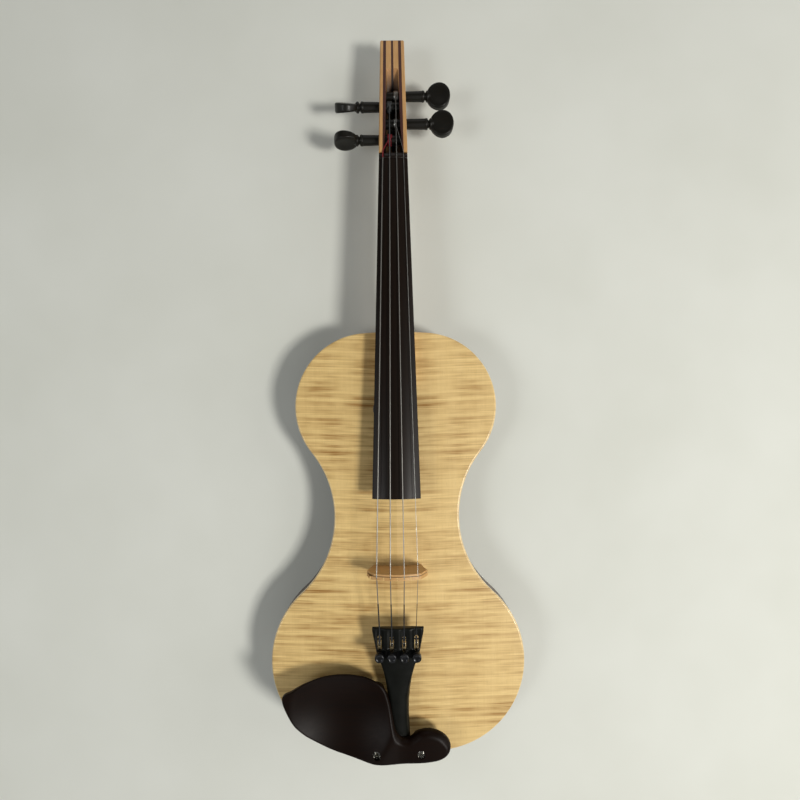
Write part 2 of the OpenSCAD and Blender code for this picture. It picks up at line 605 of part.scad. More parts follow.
// Turns of string round a peg, beside the cheek next to its thumb piece
winding_at = 0.6;
module winding(i) color(i == 0 ? "#7a1620" : "#9a9a96") peg_place(i) translate([0, 0, winding_at]) difference() {
    cylinder(h = winding_w[i], r = peg_r + winding_r[i]);
    translate([0, 0, -1]) cylinder(h = far, r = peg_r + 0.12);
}
module winding_g() winding(0);
module winding_d() winding(1);
module winding_a() winding(2);
module winding_e() winding(3);

//
// Strings
//
function string_path(i) = let (x = peg_side[i] * (winding_at + winding_w[i] / 2), r = string_r[i])
    [[x, peg_y(i) - 0.6, peg_z(i) + peg_r + winding_r[i] + r + 0.1],
     [nut_back_x(i) * 0.99, y_nut + 0.9, string_nut_z(i) - 0.75],
     [nut_back_x(i), y_nut + 0.4, string_nut_z(i) - 0.55],
     [spread(nut_spread, i), y_nut - 2, string_nut_z(i)],
     [spread(nut_spread, i), y_board, string_nut_z(i)],
     [spread(bridge_spread, i), y_bridge + 2.4, string_bridge_z(i)],
     [spread(bridge_spread, i), y_bridge - 3, string_bridge_z(i)],
     tail_point(spread(tail_spread, i), -0.5, 0.2 - tail_arch(spread(tail_spread, i))),
     tail_point(spread(tail_spread, i), 12.2, 0.3 - tail_arch(spread(tail_spread, i)))];
module string_run(i) cord(string_path(i), string_r[i]);
module string_g() color("#c9c7bf") string_run(0);
module string_d() color("#c9c7bf") string_run(1);
module string_a() color("#c9c7bf") string_run(2);
module string_e() color("#dcdcd8") string_run(3);
module string_ball(i) color("#b08d3c") tail_frame()
    translate([spread(tail_spread, i), -16.9, tail_arch(spread(tail_spread, i)) - 0.4]) rotate([0, 90, 0])
        cylinder(h = 2.4, r = 1.2, center = true);
module string_ball_g() string_ball(0);
module string_ball_d() string_ball(1);
module string_ball_a() string_ball(2);
module string_ball_e() string_ball(3);

//
// Chin rest
//
rest_floor = body_t + 11;
rest_top = body_t + rest_h;
// Points round the rim, chosen by hand: cup, then the arm over the tailpiece and the small lobe
rest_rim = [
    [-90.2, 56.8], [-82.5, 62.6], [-72, 68.2], [-60, 71.8], [-48, 73], [-36, 72.6], [-26, 70.8], [-17, 66.8],
    [-10.6, 61], [-6.6, 50], [-4.6, 39.5], [-2.4, 29], [1.5, 23.6], [7, 22.6], [11.5, 25], [17, 28.6],
    [24, 29.6], [32, 27.2], [38, 22.4], [40.6, 16.5], [38.6, 10.8], [32.5, 6.6], [22, 4.6], [9, 4],
    [-5.6, 4], [-20.6, 5.6], [-40.5, 10.7], [-53.4, 15.2], [-65.3, 21.6], [-75.2, 28.8], [-83.4, 39]];
module rest_plan() translate([0, y_bottom, 0]) polygon(closed_curve(rest_rim, 4));
module chin_rest() color("#1d120d") {
    difference() {
        union() {
            plan(rest_floor, rest_top) rest_plan();
            for (s = [-1, 1]) plan(body_t + 3, rest_floor + e) foot_plan(s);
        }
        translate([-40, y_bottom + 44, rest_top + 72]) sphere(r = 84, $fn = 96);
        block([-11, y_bottom - 1, 0], [11, y_bottom + 60, rest_floor + 6]);
        profile_x(2, far) polygon([[y_bottom - 1, rest_top - 4], [y_bottom + far, rest_top - 4],
            [y_bottom + far, far], [y_bottom - 1, far]]);
        bolt_places() cylinder(h = far, r = 1.7);
        bolt_places() translate([0, 0, bolt_head_z]) cylinder(h = far, r = 3.1);
    }
}
bolt_head_z = rest_top - 11;
bolt_head_h = 6;
module foot_plan(s) translate([s * (bolt_gap / 2 + 1.5), bolt_y]) square([12, 10], center = true);
module bolt_places() for (s = [-1, 1]) translate([s * bolt_gap / 2, bolt_y, 0]) children();
module chin_rest_bolts() color("#a9abad") bolt_places() difference() {
    union() {
        translate([0, 0, z_plate - 11]) cylinder(h = bolt_head_z - z_plate + 11, r = 1.5);
        translate([0, 0, bolt_head_z]) cylinder(h = bolt_head_h, r = 2.8);
    }
    translate([0, 0, bolt_head_z + bolt_head_h - 2.6]) cylinder(h = 3, r = 1.45, $fn = 6);
}
module chin_rest_pads() color("#9a6b3f") for (s = [-1, 1]) difference() {
    plan(body_t, body_t + 3) foot_plan(s);
    bolt_places() cylinder(h = far, r = 3.2);
}
module bolt_inserts() color("#b08d3c") bolt_places() difference() {
    translate([0, 0, z_plate - 12]) cylinder(h = 14, r = 2.95);
    translate([0, 0, z_plate - 13]) cylinder(h = 20, r = 1.52);
}

body_shell();
top_plate_bass();
top_plate_treble();
cavity_cover();
cover_screws();
neck_maple_bass_outer();
neck_dark_bass();
neck_maple_bass_inner();
neck_dark_centre();
neck_maple_treble_inner();
neck_dark_treble();
neck_maple_treble_outer();
fingerboard();
nut();
saddle();
end_button();
tail_loop();
tail_loop_nuts();
bridge_front();
bridge_back();
bridge_pickups();
pickup_lead();
volume_pot();
pot_nut();
volume_shaft();
volume_wheel();
jack_lead();
output_jack();
jack_nut();
peg_g();
peg_d();
peg_a();
peg_e();
winding_g();
winding_d();
winding_a();
winding_e();
string_g();
string_d();
string_a();
string_e();
string_ball_g();
string_ball_d();
string_ball_a();
string_ball_e();
tailpiece();
tuner_pin();
tuner_lever_g();
tuner_lever_d();
tuner_lever_a();
tuner_lever_e();
tuner_screw_g();
tuner_screw_d();
tuner_screw_a();
tuner_screw_e();
chin_rest();
chin_rest_bolts();
chin_rest_pads();
bolt_inserts();
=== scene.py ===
"""Looks of an electric violin with a chin rest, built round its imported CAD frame.

Every length inside the classes is in millimetres, in the frame of the CAD part: +X is the treble
side, +Y runs towards the head and +Z points out of the top. Meshes are turned to metres once, in
Maker.piece.
"""

import logging
import math
from dataclasses import dataclass, field
from enum import Enum
from typing import Any, Callable, Optional, Sequence, Union

import bmesh
import bpy
import numpy as np
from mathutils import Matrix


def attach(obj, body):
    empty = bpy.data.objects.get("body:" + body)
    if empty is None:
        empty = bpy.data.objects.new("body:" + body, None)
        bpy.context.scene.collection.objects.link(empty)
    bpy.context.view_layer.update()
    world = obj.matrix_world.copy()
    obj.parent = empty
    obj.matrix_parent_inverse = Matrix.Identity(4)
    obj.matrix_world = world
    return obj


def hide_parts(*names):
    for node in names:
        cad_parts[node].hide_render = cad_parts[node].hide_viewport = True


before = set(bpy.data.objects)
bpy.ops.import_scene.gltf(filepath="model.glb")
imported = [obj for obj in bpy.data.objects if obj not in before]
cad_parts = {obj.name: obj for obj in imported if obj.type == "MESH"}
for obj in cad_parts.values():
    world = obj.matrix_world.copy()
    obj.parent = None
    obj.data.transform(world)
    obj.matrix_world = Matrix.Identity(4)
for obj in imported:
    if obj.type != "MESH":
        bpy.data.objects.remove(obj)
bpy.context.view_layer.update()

Array = np.ndarray
MM = 0.001
ROOT = "instrument"
STRINGS = ("g", "d", "a", "e")
LOG = logging.getLogger("violin")


# ---------------------------------------------------------------------------
# Shapes
# ---------------------------------------------------------------------------
@dataclass
class Shape:
    """Points of a surface and blocks of faces, each block an array with one row per face."""

    points: Array
    blocks: list[Array]

    def __add__(self, other: "Shape") -> "Shape":
        """Both shapes as one."""
        moved = [block + len(self.points) for block in other.blocks]
        return Shape(np.vstack([self.points, other.points]), self.blocks + moved)

    def mapped(self, change: Callable[[Array], Array]) -> "Shape":
        """The same faces on moved points."""
        return Shape(change(self.points), self.blocks)


def grid_faces(rows: int, columns: int, closed: bool) -> Array:
    """Quads of a grid of points.

    Args:
        rows: Number of rows of points.
        columns: Number of points in a row.
        closed: Whether the last column joins the first.

    Returns:
        One row of four point numbers for each quad.
    """
    k = np.arange(rows - 1)[:, None] * columns
    i = np.arange(columns if closed else columns - 1)[None, :]
    j = (i + 1) % columns
    return np.stack([k + i, k + j, k + columns + j, k + columns + i], -1).reshape(-1, 4)


def loft(rings: Array) -> Shape:
    """Closed solid through rings of points, with a flat face over each end.

    Args:
        rings: Points as (ring, point in ring, xyz).

    Returns:
        The solid.
    """
    count, size = rings.shape[:2]
    ends = [np.arange(size)[None, ::-1], (count - 1) * size + np.arange(size)[None, :]]
    return Shape(rings.reshape(-1, 3), [grid_faces(count, size, True), *ends])


def slab(plan: Array, top: Array, bottom: Array) -> Shape:
    """Closed solid between two height fields over one plan grid, with a wall round its border.

    Args:
        plan: X and Y of the grid as (row, column, 2).
        top: Upper height at each grid point.
        bottom: Lower height at each grid point.

    Returns:
        The solid.
    """
    rows, columns = top.shape
    upper = np.dstack([plan, top]).reshape(-1, 3)
    lower = np.dstack([plan, bottom]).reshape(-1, 3)
    index = np.arange(rows * columns).reshape(rows, columns)
    border = np.concatenate([index[0, :-1], index[:-1, -1], index[-1, :0:-1], index[:0:-1, 0]])
    after = np.roll(border, -1)
    far = rows * columns
    wall = np.stack([border, after, after + far, border + far], -1)
    quads = grid_faces(rows, columns, False)
    return Shape(np.vstack([upper, lower]), [quads, quads[:, ::-1] + far, wall])


def revolve(
    profile: Sequence, segments: int = 64, ripple: Optional[Callable[[Array, Array], Array]] = None
) -> Shape:
    """Solid of revolution about Z: each profile point (r, z) goes to (r cos a, r sin a, z).

    Args:
        profile: Radius and height of each point, from one end of the axis to the other.
        segments: Number of points round the axis.
        ripple: Changes the radius for an angle and a profile radius.

    Returns:
        The solid, closed at both ends.
    """
    line = np.asarray(profile, float)
    angle = np.arange(segments) * 2 * np.pi / segments
    radius = np.repeat(line[:, :1], segments, 1)
    if ripple is not None:
        radius = ripple(angle[None, :], radius)
    height = np.repeat(line[:, 1:], segments, 1)
    return loft(np.stack([radius * np.cos(angle), radius * np.sin(angle), height], -1))


def sweep(
    path: Array, radius: Union[float, Array], sides: int = 12, reference: Sequence = (1, 0, 0)
) -> Shape:
    """Round cord along a path: each ring is r (cos a U + sin a W), square to the path's heading.

    Args:
        path: Points of the centre line.
        radius: One radius, or one for each point.
        sides: Number of points in a ring.
        reference: Direction that is never along the path, from which the rings are turned.

    Returns:
        The cord, closed at both ends.
    """
    heading = np.gradient(path, axis=0)
    heading /= np.linalg.norm(heading, axis=1, keepdims=True)
    ref = np.asarray(reference, float)
    u = ref - (heading @ ref)[:, None] * heading
    u /= np.linalg.norm(u, axis=1, keepdims=True)
    w = np.cross(heading, u)
    angle = np.arange(sides) * 2 * np.pi / sides
    reach = np.broadcast_to(np.asarray(radius, float), len(path))[:, None, None]
    turn = np.cos(angle)[None, :, None] * u[:, None, :] + np.sin(angle)[None, :, None] * w[:, None, :]
    return loft(path[:, None, :] + reach * turn)


def extrude(outline: Sequence, low: float, high: float, axis: int) -> Shape:
    """Prism of a flat outline, pushed along one axis.

    Args:
        outline: Points in the two other axes, in the order X, Y, Z.
        low: Where it starts along the axis.
        high: Where it ends along the axis.
        axis: 0, 1 or 2 for X, Y or Z.

    Returns:
        The prism.
    """
    flat = np.asarray(outline, float)
    rings = np.stack([np.insert(flat, axis, level, axis=1) for level in (low, high)])
    return loft(rings)


def block(low: Sequence, high: Sequence) -> Shape:
    """Box between two corners."""
    (x0, y0, z0), (x1, y1, z1) = low, high
    return extrude([(x0, y0), (x1, y0), (x1, y1), (x0, y1)], z0, z1, 2)


def curve(points: Sequence, steps: int, closed: bool = False) -> Array:
    """Catmull-Rom curve through points: a cubic between each two, with headings from their neighbours.

    Args:
        points: Points to pass through.
        steps: Number of parts between two points.
        closed: Whether the curve comes back to its start.

    Returns:
        Points of the curve.
    """
    p = np.asarray(points, float)
    if closed:
        a, b, c, d = (np.roll(p, k, 0)[:, None] for k in (1, 0, -1, -2))
    else:
        q = np.vstack([2 * p[0] - p[1], p, 2 * p[-1] - p[-2]])
        a, b, c, d = (v[:, None] for v in (q[:-3], q[1:-2], q[2:-1], q[3:]))
    t = (np.arange(steps) / steps)[None, :, None]
    out = 0.5 * (2 * b + (c - a) * t + (2 * a - 5 * b + 4 * c - d) * t**2 + (3 * b - a - 3 * c + d) * t**3)
    out = out.reshape(-1, p.shape[1])
    return out if closed else np.vstack([out, p[-1:]])


def ease(x: Array, low: float, high: float) -> Array:
    """Smooth step 3t^2 - 2t^3 from 0 at low to 1 at high."""
    t = np.clip((np.asarray(x, float) - low) / (high - low), 0, 1)
    return t * t * (3 - 2 * t)


def fair(x: Array, table: Sequence) -> Array:
    """Smooth curve through a table without overshoot (monotone cubic Hermite).

    Args:
        x: Where to read it.
        table: Pairs of position and value, in rising order of position.

    Returns:
        Values at x.
    """
    xs, ys = np.asarray(table, float).T
    step = np.diff(xs)
    slope = np.diff(ys) / step
    inner = np.where(
        slope[:-1] * slope[1:] > 0, 2 * slope[:-1] * slope[1:] / (slope[:-1] + slope[1:] + 1e-12), 0
    )
    slopes = np.concatenate([slope[:1], inner, slope[-1:]])
    x = np.clip(x, xs[0], xs[-1])
    k = np.clip(np.searchsorted(xs, x, side="right") - 1, 0, len(step) - 1)
    t = (x - xs[k]) / step[k]
    return (
        (2 * t**3 - 3 * t**2 + 1) * ys[k]
        + (t**3 - 2 * t**2 + t) * step[k] * slopes[k]
        + (3 * t**2 - 2 * t**3) * ys[k + 1]
        + (t**3 - t**2) * step[k] * slopes[k + 1]
    )


def sagitta(radius: float, x: Union[float, Array]) -> Array:
    """Drop of a circle of that radius at a distance x from its top: r - sqrt(r^2 - x^2)."""
    return radius - np.sqrt(radius**2 - np.square(x))


def rounding(distance: Array, radius: Union[float, Array]) -> Array:
    """Drop of a rounded edge at a distance inwards from it: r - sqrt(r^2 - (r - d)^2), and 0 past r."""
    inward = np.clip(radius - distance, 0, radius)
    return radius - np.sqrt(np.maximum(np.square(radius) - np.square(inward), 0))


def along_x(side: float, origin: Sequence) -> Callable[[Array], Array]:
    """Change that lays a shape's +Z along +X (side 1) or -X (side -1) from an origin."""
    turn = np.array([[0, 0, side], [0, 1, 0], [-side, 0, 0]], float)
    return lambda p: p @ turn.T + np.asarray(origin, float)


def along_y(side: float, origin: Sequence) -> Callable[[Array], Array]:
    """Change that lays a shape's +Z along +Y (side 1) or -Y (side -1) from an origin."""
    turn = np.array([[1, 0, 0], [0, 0, side], [0, -side, 0]], float)
    return lambda p: p @ turn.T + np.asarray(origin, float)


def moved(origin: Sequence) -> Callable[[Array], Array]:
    """Change that moves a shape."""
    return lambda p: p + np.asarray(origin, float)


# ---------------------------------------------------------------------------
# Finishes
# ---------------------------------------------------------------------------
def linear(code: str) -> tuple[float, float, float, float]:
    """Linear colour of an sRGB hex code.

    Args:
        code: Such as "#c79d63".

    Returns:
        Red, green, blue and 1.
    """
    value = np.array([int(code[i : i + 2], 16) for i in (1, 3, 5)]) / 255
    value = np.where(value <= 0.04045, value / 12.92, ((value + 0.055) / 1.055) ** 2.4)
    return (*(float(v) for v in value), 1.0)


def add(tree: Any, kind: str, settings: Optional[dict] = None, links: Optional[dict] = None) -> Any:
    """Adds a node with its settings and links.

    Args:
        tree: Node tree.
        kind: Type of the node.
        settings: Values of its inputs or properties. "ramp" holds the stops of a colour ramp.
        links: For an input, the node or socket that feeds it.

    Returns:
        The node.
    """
    node = tree.nodes.new(kind)
    for key, value in (settings or {}).items():
        if key == "ramp":
            stops = node.color_ramp.elements
            while len(stops) < len(value):
                stops.new(0.5)
            for stop, (place, colour) in zip(stops, value):
                stop.position, stop.color = place, colour
        elif isinstance(key, int) or key in node.inputs:
            node.inputs[key].default_value = value
        else:
            setattr(node, key, value)
    for key, source in (links or {}).items():
        socket = source if isinstance(source, bpy.types.NodeSocket) else source.outputs[0]
        tree.links.new(socket, node.inputs[key])
    return node


@dataclass(frozen=True)
class Finish:
    """A material: what it is called, how rough it is and what lies on it."""

    name: str
    colour: str
    second: str
    rough: float = 0.4
    rough_spread: float = 0.1
    coat: float = 0.0
    coat_rough: float = 0.1
    ior: float = 1.5
    metallic: float = 0.0
    sheen: float = 0.0

    def material(self) -> Any:
        """The Blender material, made once."""
        found = bpy.data.materials.get(self.name)
        if found is not None:
            return found
        material = bpy.data.materials.new(self.name)
        material.use_nodes = True
        tree = material.node_tree
        tree.nodes.clear()
        shader = add(
            tree, "ShaderNodeBsdfPrincipled",
            {
                "Metallic": self.metallic, "Coat Weight": self.coat, "Coat Roughness": self.coat_rough,
                "Sheen Weight": self.sheen, **({} if self.metallic else {"IOR": self.ior})
            }
        )
        add(tree, "ShaderNodeOutputMaterial", links={"Surface": shader})
        place = add(tree, "ShaderNodeTexCoord").outputs["Object"]
        measured = add(tree, "ShaderNodeVectorMath", {"operation": "SCALE", "Scale": 1 / MM}, {0: place})
        self.dress(tree, shader, measured)
        return material

    def dress(self, tree: Any, shader: Any, place: Any) -> None:
        """Links the patterns to the shader.

        Args:
            tree: Node tree of the material.
            shader: Principled shader.
            place: Node that gives the position in millimetres.
        """
        raise NotImplementedError

    def paint(self, tree: Any, shader: Any, share: Any, rough: Any, height: Any, depth: float) -> None:
        """Links colour, roughness and bump to the shader.

        Args:
            tree: Node tree.
            shader: Principled shader.
            share: Where the second colour shows, 0 to 1.
            rough: Pattern of the roughness, 0 to 1.
            height: Pattern of the surface's relief, 0 to 1.
            depth: Depth of the relief, in millimetres.
        """
        mix = add(
            tree, "ShaderNodeMixRGB", {"Color1": linear(self.colour), "Color2": linear(self.second)},
            {"Fac": share}
        )
        tree.links.new(mix.outputs[0], shader.inputs["Base Color"])
        self.relief(tree, shader, rough, height, depth)

    def relief(self, tree: Any, shader: Any, rough: Any, height: Any, depth: float) -> None:
        """Links roughness and bump to the shader, as in paint."""
        spread = add(
            tree, "ShaderNodeMapRange",
            {
                "To Min": max(self.rough - self.rough_spread / 2, 0.02),
                "To Max": self.rough + self.rough_spread / 2
            },
            {"Value": rough}
        )
        tree.links.new(spread.outputs[0], shader.inputs["Roughness"])
        bump = add(tree, "ShaderNodeBump", {"Strength": 0.6, "Distance": depth * MM}, {"Height": height})
        tree.links.new(bump.outputs[0], shader.inputs["Normal"])


def stretched(tree: Any, place: Any, sizes: Sequence, detail: float = 3.0, rough: float = 0.55) -> Any:
    """Noise whose lumps have the given sizes.

    Args:
        tree: Node tree.
        place: Position in millimetres.
        sizes: Size of a lump along X, Y and Z, in millimetres.
        detail: Number of finer layers.
        rough: Strength of the finer layers.

    Returns:
        The noise node.
    """
    scaled = add(
        tree, "ShaderNodeVectorMath", {"operation": "MULTIPLY", 1: tuple(1 / s for s in sizes)}, {0: place}
    )
    return add(
        tree, "ShaderNodeTexNoise", {"Scale": 1.0, "Detail": detail, "Roughness": rough}, {"Vector": scaled}
    )


class Figure(Enum):
    """How the fibres of a board wave."""

    PLAIN = 0
    CURLY = 1


@dataclass(frozen=True)
class Wood(Finish):
    """Planed and varnished wood with its fibres along Y.

    Long streaks are the growth lines, small dark dashes the open pores. On curly wood the fibres
    wave, so bands across the board turn light and dark; book_matched mirrors them at the middle joint.
    """

    grain: float = 1.4
    streak: float = 90.0
    contrast: float = 0.55
    figure: Figure = Figure.PLAIN
    curl: float = 6.5
    curl_share: float = 0.5
    curl_colour: str = "#8a6030"
    lean: float = 0.03
    book_matched: bool = False
    pores: float = 0.3
    pore_colour: str = "#2a1608"
    depth: float = 0.03
    # Band of colour below a level, softened over a depth: it paints a highlight on the top's rounded rim and
    # paints shade down in the peg box's slot.
    painted_light_level: float = 0.0
    painted_light_soft: float = 0.5
    painted_light_colour: str = "#f2e2ba"
    across: int = 0

    def dress(self, tree: Any, shader: Any, place: Any) -> None:
        """Links the patterns to the shader, as in Finish."""
        if self.across:
            turn = {"vector_type": "POINT", "Rotation": (0.0, 0.0, math.pi / 2)}
            place = add(tree, "ShaderNodeMapping", turn, {"Vector": place})
        split = add(tree, "ShaderNodeSeparateXYZ", links={0: place})
        x = split.outputs[0]
        if self.book_matched:
            x = add(tree, "ShaderNodeMath", {"operation": "ABSOLUTE"}, {0: x}).outputs[0]
        matched = add(tree, "ShaderNodeCombineXYZ", links={0: x, 1: split.outputs[1], 2: split.outputs[2]})
        fibre = stretched(tree, matched, (self.grain, self.streak, self.grain), 4.0, 0.6)
        broad = stretched(tree, matched, (self.grain * 9, self.streak * 2.4, self.grain * 9), 2.0)
        share = add(
            tree, "ShaderNodeMath", {"operation": "MULTIPLY_ADD", 1: 0.65, 2: 0.0}, {0: fibre.outputs[0]}
        )
        share = add(
            tree, "ShaderNodeMath", {"operation": "MULTIPLY_ADD", 1: 0.35}, {0: broad.outputs[0], 2: share}
        )
        share = add(
            tree, "ShaderNodeMapRange",
            {"From Min": 0.5 - 0.22, "From Max": 0.5 + 0.22, "To Max": self.contrast}, {"Value": share}
        )
        base = add(
            tree, "ShaderNodeMixRGB", {"Color1": linear(self.colour), "Color2": linear(self.second)},
            {"Fac": share}
        )
        rough = fibre.outputs[0]
        if self.figure is Figure.CURLY:
            slope = add(
                tree, "ShaderNodeMath", {"operation": "MULTIPLY_ADD", 1: -self.lean},
                {0: x, 2: split.outputs[1]}
            )
            bent = add(tree, "ShaderNodeCombineXYZ", links={0: x, 1: slope, 2: split.outputs[2]})
            bands = stretched(tree, bent, (70, self.curl * 0.42, 70), 3.0, 0.6)
            lines = stretched(tree, bent, (42, self.curl * 0.16, 42), 2.0, 0.5)
            patch = stretched(tree, bent, (30, 22, 30), 2.0)
            broad_band = add(
                tree, "ShaderNodeMapRange", {"From Min": 0.42, "From Max": 0.64, "To Max": 0.6},
                {"Value": bands.outputs[0]}
            )
            thin_line = add(
                tree, "ShaderNodeMapRange", {"From Min": 0.5, "From Max": 0.68, "To Max": 0.45},
                {"Value": lines.outputs[0]}
            )
            even_band = add(
                tree, "ShaderNodeTexWave",
                {
                    "bands_direction": "Y", "Scale": 0.314 / self.curl, "Distortion": 3.5, "Detail": 3.0,
                    "Detail Scale": 0.7
                },
                {"Vector": bent}
            )
            both = add(tree, "ShaderNodeMath", {"operation": "ADD"}, {0: broad_band, 1: thin_line})
            both = add(
                tree, "ShaderNodeMath", {"operation": "MULTIPLY_ADD", 1: 0.3},
                {0: even_band.outputs["Fac"], 2: both}
            )
            some = add(
                tree, "ShaderNodeMapRange", {"From Min": 0.35, "From Max": 0.62, "To Min": 0.4},
                {"Value": patch.outputs[0]}
            )
            wave = add(tree, "ShaderNodeMath", {"operation": "MULTIPLY"}, {0: both, 1: some})
            wave = add(tree, "ShaderNodeMath", {"operation": "MULTIPLY", 1: self.curl_share}, {0: wave})
            base = add(
                tree, "ShaderNodeMixRGB", {"Color2": linear(self.curl_colour)},
                {"Fac": wave, "Color1": base}
            )
            rough = wave.outputs[0]
        dots = stretched(tree, matched, (0.5, 7.0, 0.5), 1.0)
        dots = add(
            tree, "ShaderNodeMapRange", {"From Min": 0.62, "From Max": 0.74, "To Max": self.pores},
            {"Value": dots.outputs[0]}
        )
        base = add(
            tree, "ShaderNodeMixRGB", {"Color2": linear(self.pore_colour)}, {"Fac": dots, "Color1": base}
        )
        # Painted light: below a level the colour fades to another, a painted highlight on the top's rim and
        # painted shade down in the peg box's slot.
        if self.painted_light_level:
            painted_light_share = add(
                tree, "ShaderNodeMapRange",
                {"From Min": self.painted_light_level, "From Max": self.painted_light_level - self.painted_light_soft, "To Max": 0.85},
                {"Value": split.outputs[2]}
            )
            base = add(
                tree, "ShaderNodeMixRGB", {"Color2": linear(self.painted_light_colour)},
                {"Fac": painted_light_share, "Color1": base}
            )
        tree.links.new(base.outputs[0], shader.inputs["Base Color"])
        height = add(tree, "ShaderNodeMath", {"operation": "SUBTRACT"}, {0: fibre.outputs[0], 1: dots})
        self.relief(tree, shader, rough, height, self.depth)


@dataclass(frozen=True)
class Plain(Finish):
    """Moulded, plated or coated surface: a faint mottle in its colour, fine grit and a few scuffs."""

    grit: float = 0.5
    mottle: float = 9.0
    depth: float = 0.01

    def dress(self, tree: Any, shader: Any, place: Any) -> None:
        """Links the patterns to the shader, as in Finish."""
        cloud = stretched(tree, place, (self.mottle,) * 3, 3.0)
        fine = stretched(tree, place, (self.grit,) * 3, 2.0)
        scuff = stretched(tree, place, (self.mottle * 1.6, self.mottle * 0.3, self.mottle), 4.0, 0.7)
        share = add(
            tree, "ShaderNodeMapRange", {"From Min": 0.35, "From Max": 0.7}, {"Value": cloud.outputs[0]}
        )
        self.paint(tree, shader, share, scuff.outputs[0], fine.outputs[0], self.depth)


@dataclass(frozen=True)
class Wound(Finish):
    """Fine wire or silk wound round a core: close rings along Y, coarser than real so that they show."""

    pitch: float = 0.5
    depth: float = 0.05

    def dress(self, tree: Any, shader: Any, place: Any) -> None:
        """Links the patterns to the shader, as in Finish."""
        rings = add(
            tree, "ShaderNodeTexWave",
            {"bands_direction": "Y", "Scale": 0.314 / self.pitch, "Distortion": 0.4}, {"Vector": place}
        )
        cloud = stretched(tree, place, (6, 6, 6), 2.0)
        self.paint(tree, shader, rings.outputs["Fac"], cloud.outputs[0], rings.outputs["Fac"], self.depth)


@dataclass(frozen=True)
class Grainy(Finish):
    """Pressed cork: rounded crumbs of bark with dark gaps between them."""

    crumb: float = 1.1

    def dress(self, tree: Any, shader: Any, place: Any) -> None:
        """Links the patterns to the shader, as in Finish."""
        scaled = add(
            tree, "ShaderNodeVectorMath", {"operation": "SCALE", "Scale": 1 / self.crumb}, {0: place}
        )
        crumbs = add(tree, "ShaderNodeTexVoronoi", {"Scale": 1.0}, {"Vector": scaled})
        gaps = add(
            tree, "ShaderNodeMapRange", {"From Min": 0.25, "From Max": 0.75},
            {"Value": crumbs.outputs["Distance"]}
        )
        self.paint(tree, shader, gaps, crumbs.outputs["Distance"], crumbs.outputs["Distance"], 0.08)


# Flamed maple under clear lacquer: pale gold with bands across it that catch the light. The bass
# half is a copy in painted shade, deeper in tone and with stronger bands. On both halves the rounded
# rim is painted pale, a painted highlight where the edge catches the light.
MAPLE_BASS = Wood(
    "curly_maple_lacquered_bass_painted_shade", "#e9cb8c", "#dcbb7a", 0.36, 0.12, 0.25, 0.16, figure=Figure.CURLY,
    book_matched=True, curl_share=0.95, curl_colour="#94692c", pores=0.12, pore_colour="#6b4a24", grain=2.0,
    contrast=0.7, painted_light_level=37.6
)
MAPLE_TREBLE = Wood(
    "curly_maple_lacquered_treble", "#edcf92", "#e1c080", 0.36, 0.12, 0.25, 0.16, figure=Figure.CURLY,
    book_matched=True, curl_share=0.8, curl_colour="#9a6e30", pores=0.12, pore_colour="#6b4a24", grain=2.0,
    contrast=0.7, painted_light_level=37.6
)
# Oiled walnut of the body: deep brown, satin, with open pores.
WALNUT = Wood(
    "walnut_oiled", "#4a2c13", "#241204", 0.42, 0.16, 0.15, 0.25, grain=2.2, streak=120, pores=0.55,
    pore_colour="#120803", contrast=0.85, depth=0.05
)
# Straight-grained maple of the neck strips, oiled and rubbed: warm tan, satin.
NECK_MAPLE = Wood(
    "neck_maple_oiled", "#c79c66", "#a87a46", 0.38, 0.12, 0.1, 0.2, grain=1.1, streak=70, pores=0.2,
    pore_colour="#7a5228", contrast=0.8
)
# Rosewood strips between the maple ones: red-brown, almost black in the pores.
NECK_DARK = Wood(
    "neck_rosewood_oiled", "#4a1f10", "#260d06", 0.36, 0.12, 0.1, 0.2, grain=1.0, streak=60, pores=0.5,
    pore_colour="#0d0503", contrast=0.8
)
# The same strips where the peg box is cut out, in painted shade: a little darker than the outer
# faces, palest at the ramp and painted darker down in the slot.
SLOT_MAPLE = Wood(
    "peg_box_maple_painted_shade", "#b98a55", "#946538", 0.5, 0.1, 0.0, 0.2, grain=1.1, streak=40, pores=0.3,
    pore_colour="#5a3a1c", contrast=0.8, painted_light_level=38.0, painted_light_soft=8.0, painted_light_colour="#1c0d06"
)
SLOT_DARK = Wood(
    "peg_box_rosewood_painted_shade", "#38130a", "#1c0904", 0.5, 0.1, 0.0, 0.2, grain=1.0, streak=40, pores=0.4,
    pore_colour="#0d0503", contrast=0.8, painted_light_level=40.0, painted_light_soft=8.0, painted_light_colour="#150804"
)
# Ebony, scraped and polished by fingers: near black with a soft gloss.
EBONY = Wood(
    "ebony_polished", "#1a1009", "#0b0603", 0.36, 0.1, 0.1, 0.2, grain=0.9, streak=60, pores=0.3,
    pore_colour="#2a1c10", contrast=0.9, depth=0.015, ior=1.3
)
# Ebony of the pegs, turned and rubbed smooth: a broader, softer sheen than the board's.
PEG_EBONY = Wood(
    "peg_ebony_turned", "#14120c", "#0a0906", 0.42, 0.1, 0.08, 0.2, grain=0.8, streak=30, pores=0.25,
    pore_colour="#2a1d12", contrast=0.8, depth=0.01, across=1, ior=1.3
)
# Stained and lacquered hardwood of the chin rest: black-brown with a soft, wide sheen. The black
# finishes have an IOR below their material's own, which keeps the sheen as faint as the real one's.
REST_WOOD = Wood(
    "chin_rest_stained_lacquered", "#140803", "#080301", 0.42, 0.1, 0.0, 0.2, grain=1.6, streak=50,
    pores=0.3, pore_colour="#060302", contrast=0.9, depth=0.02, across=1, ior=1.2
)
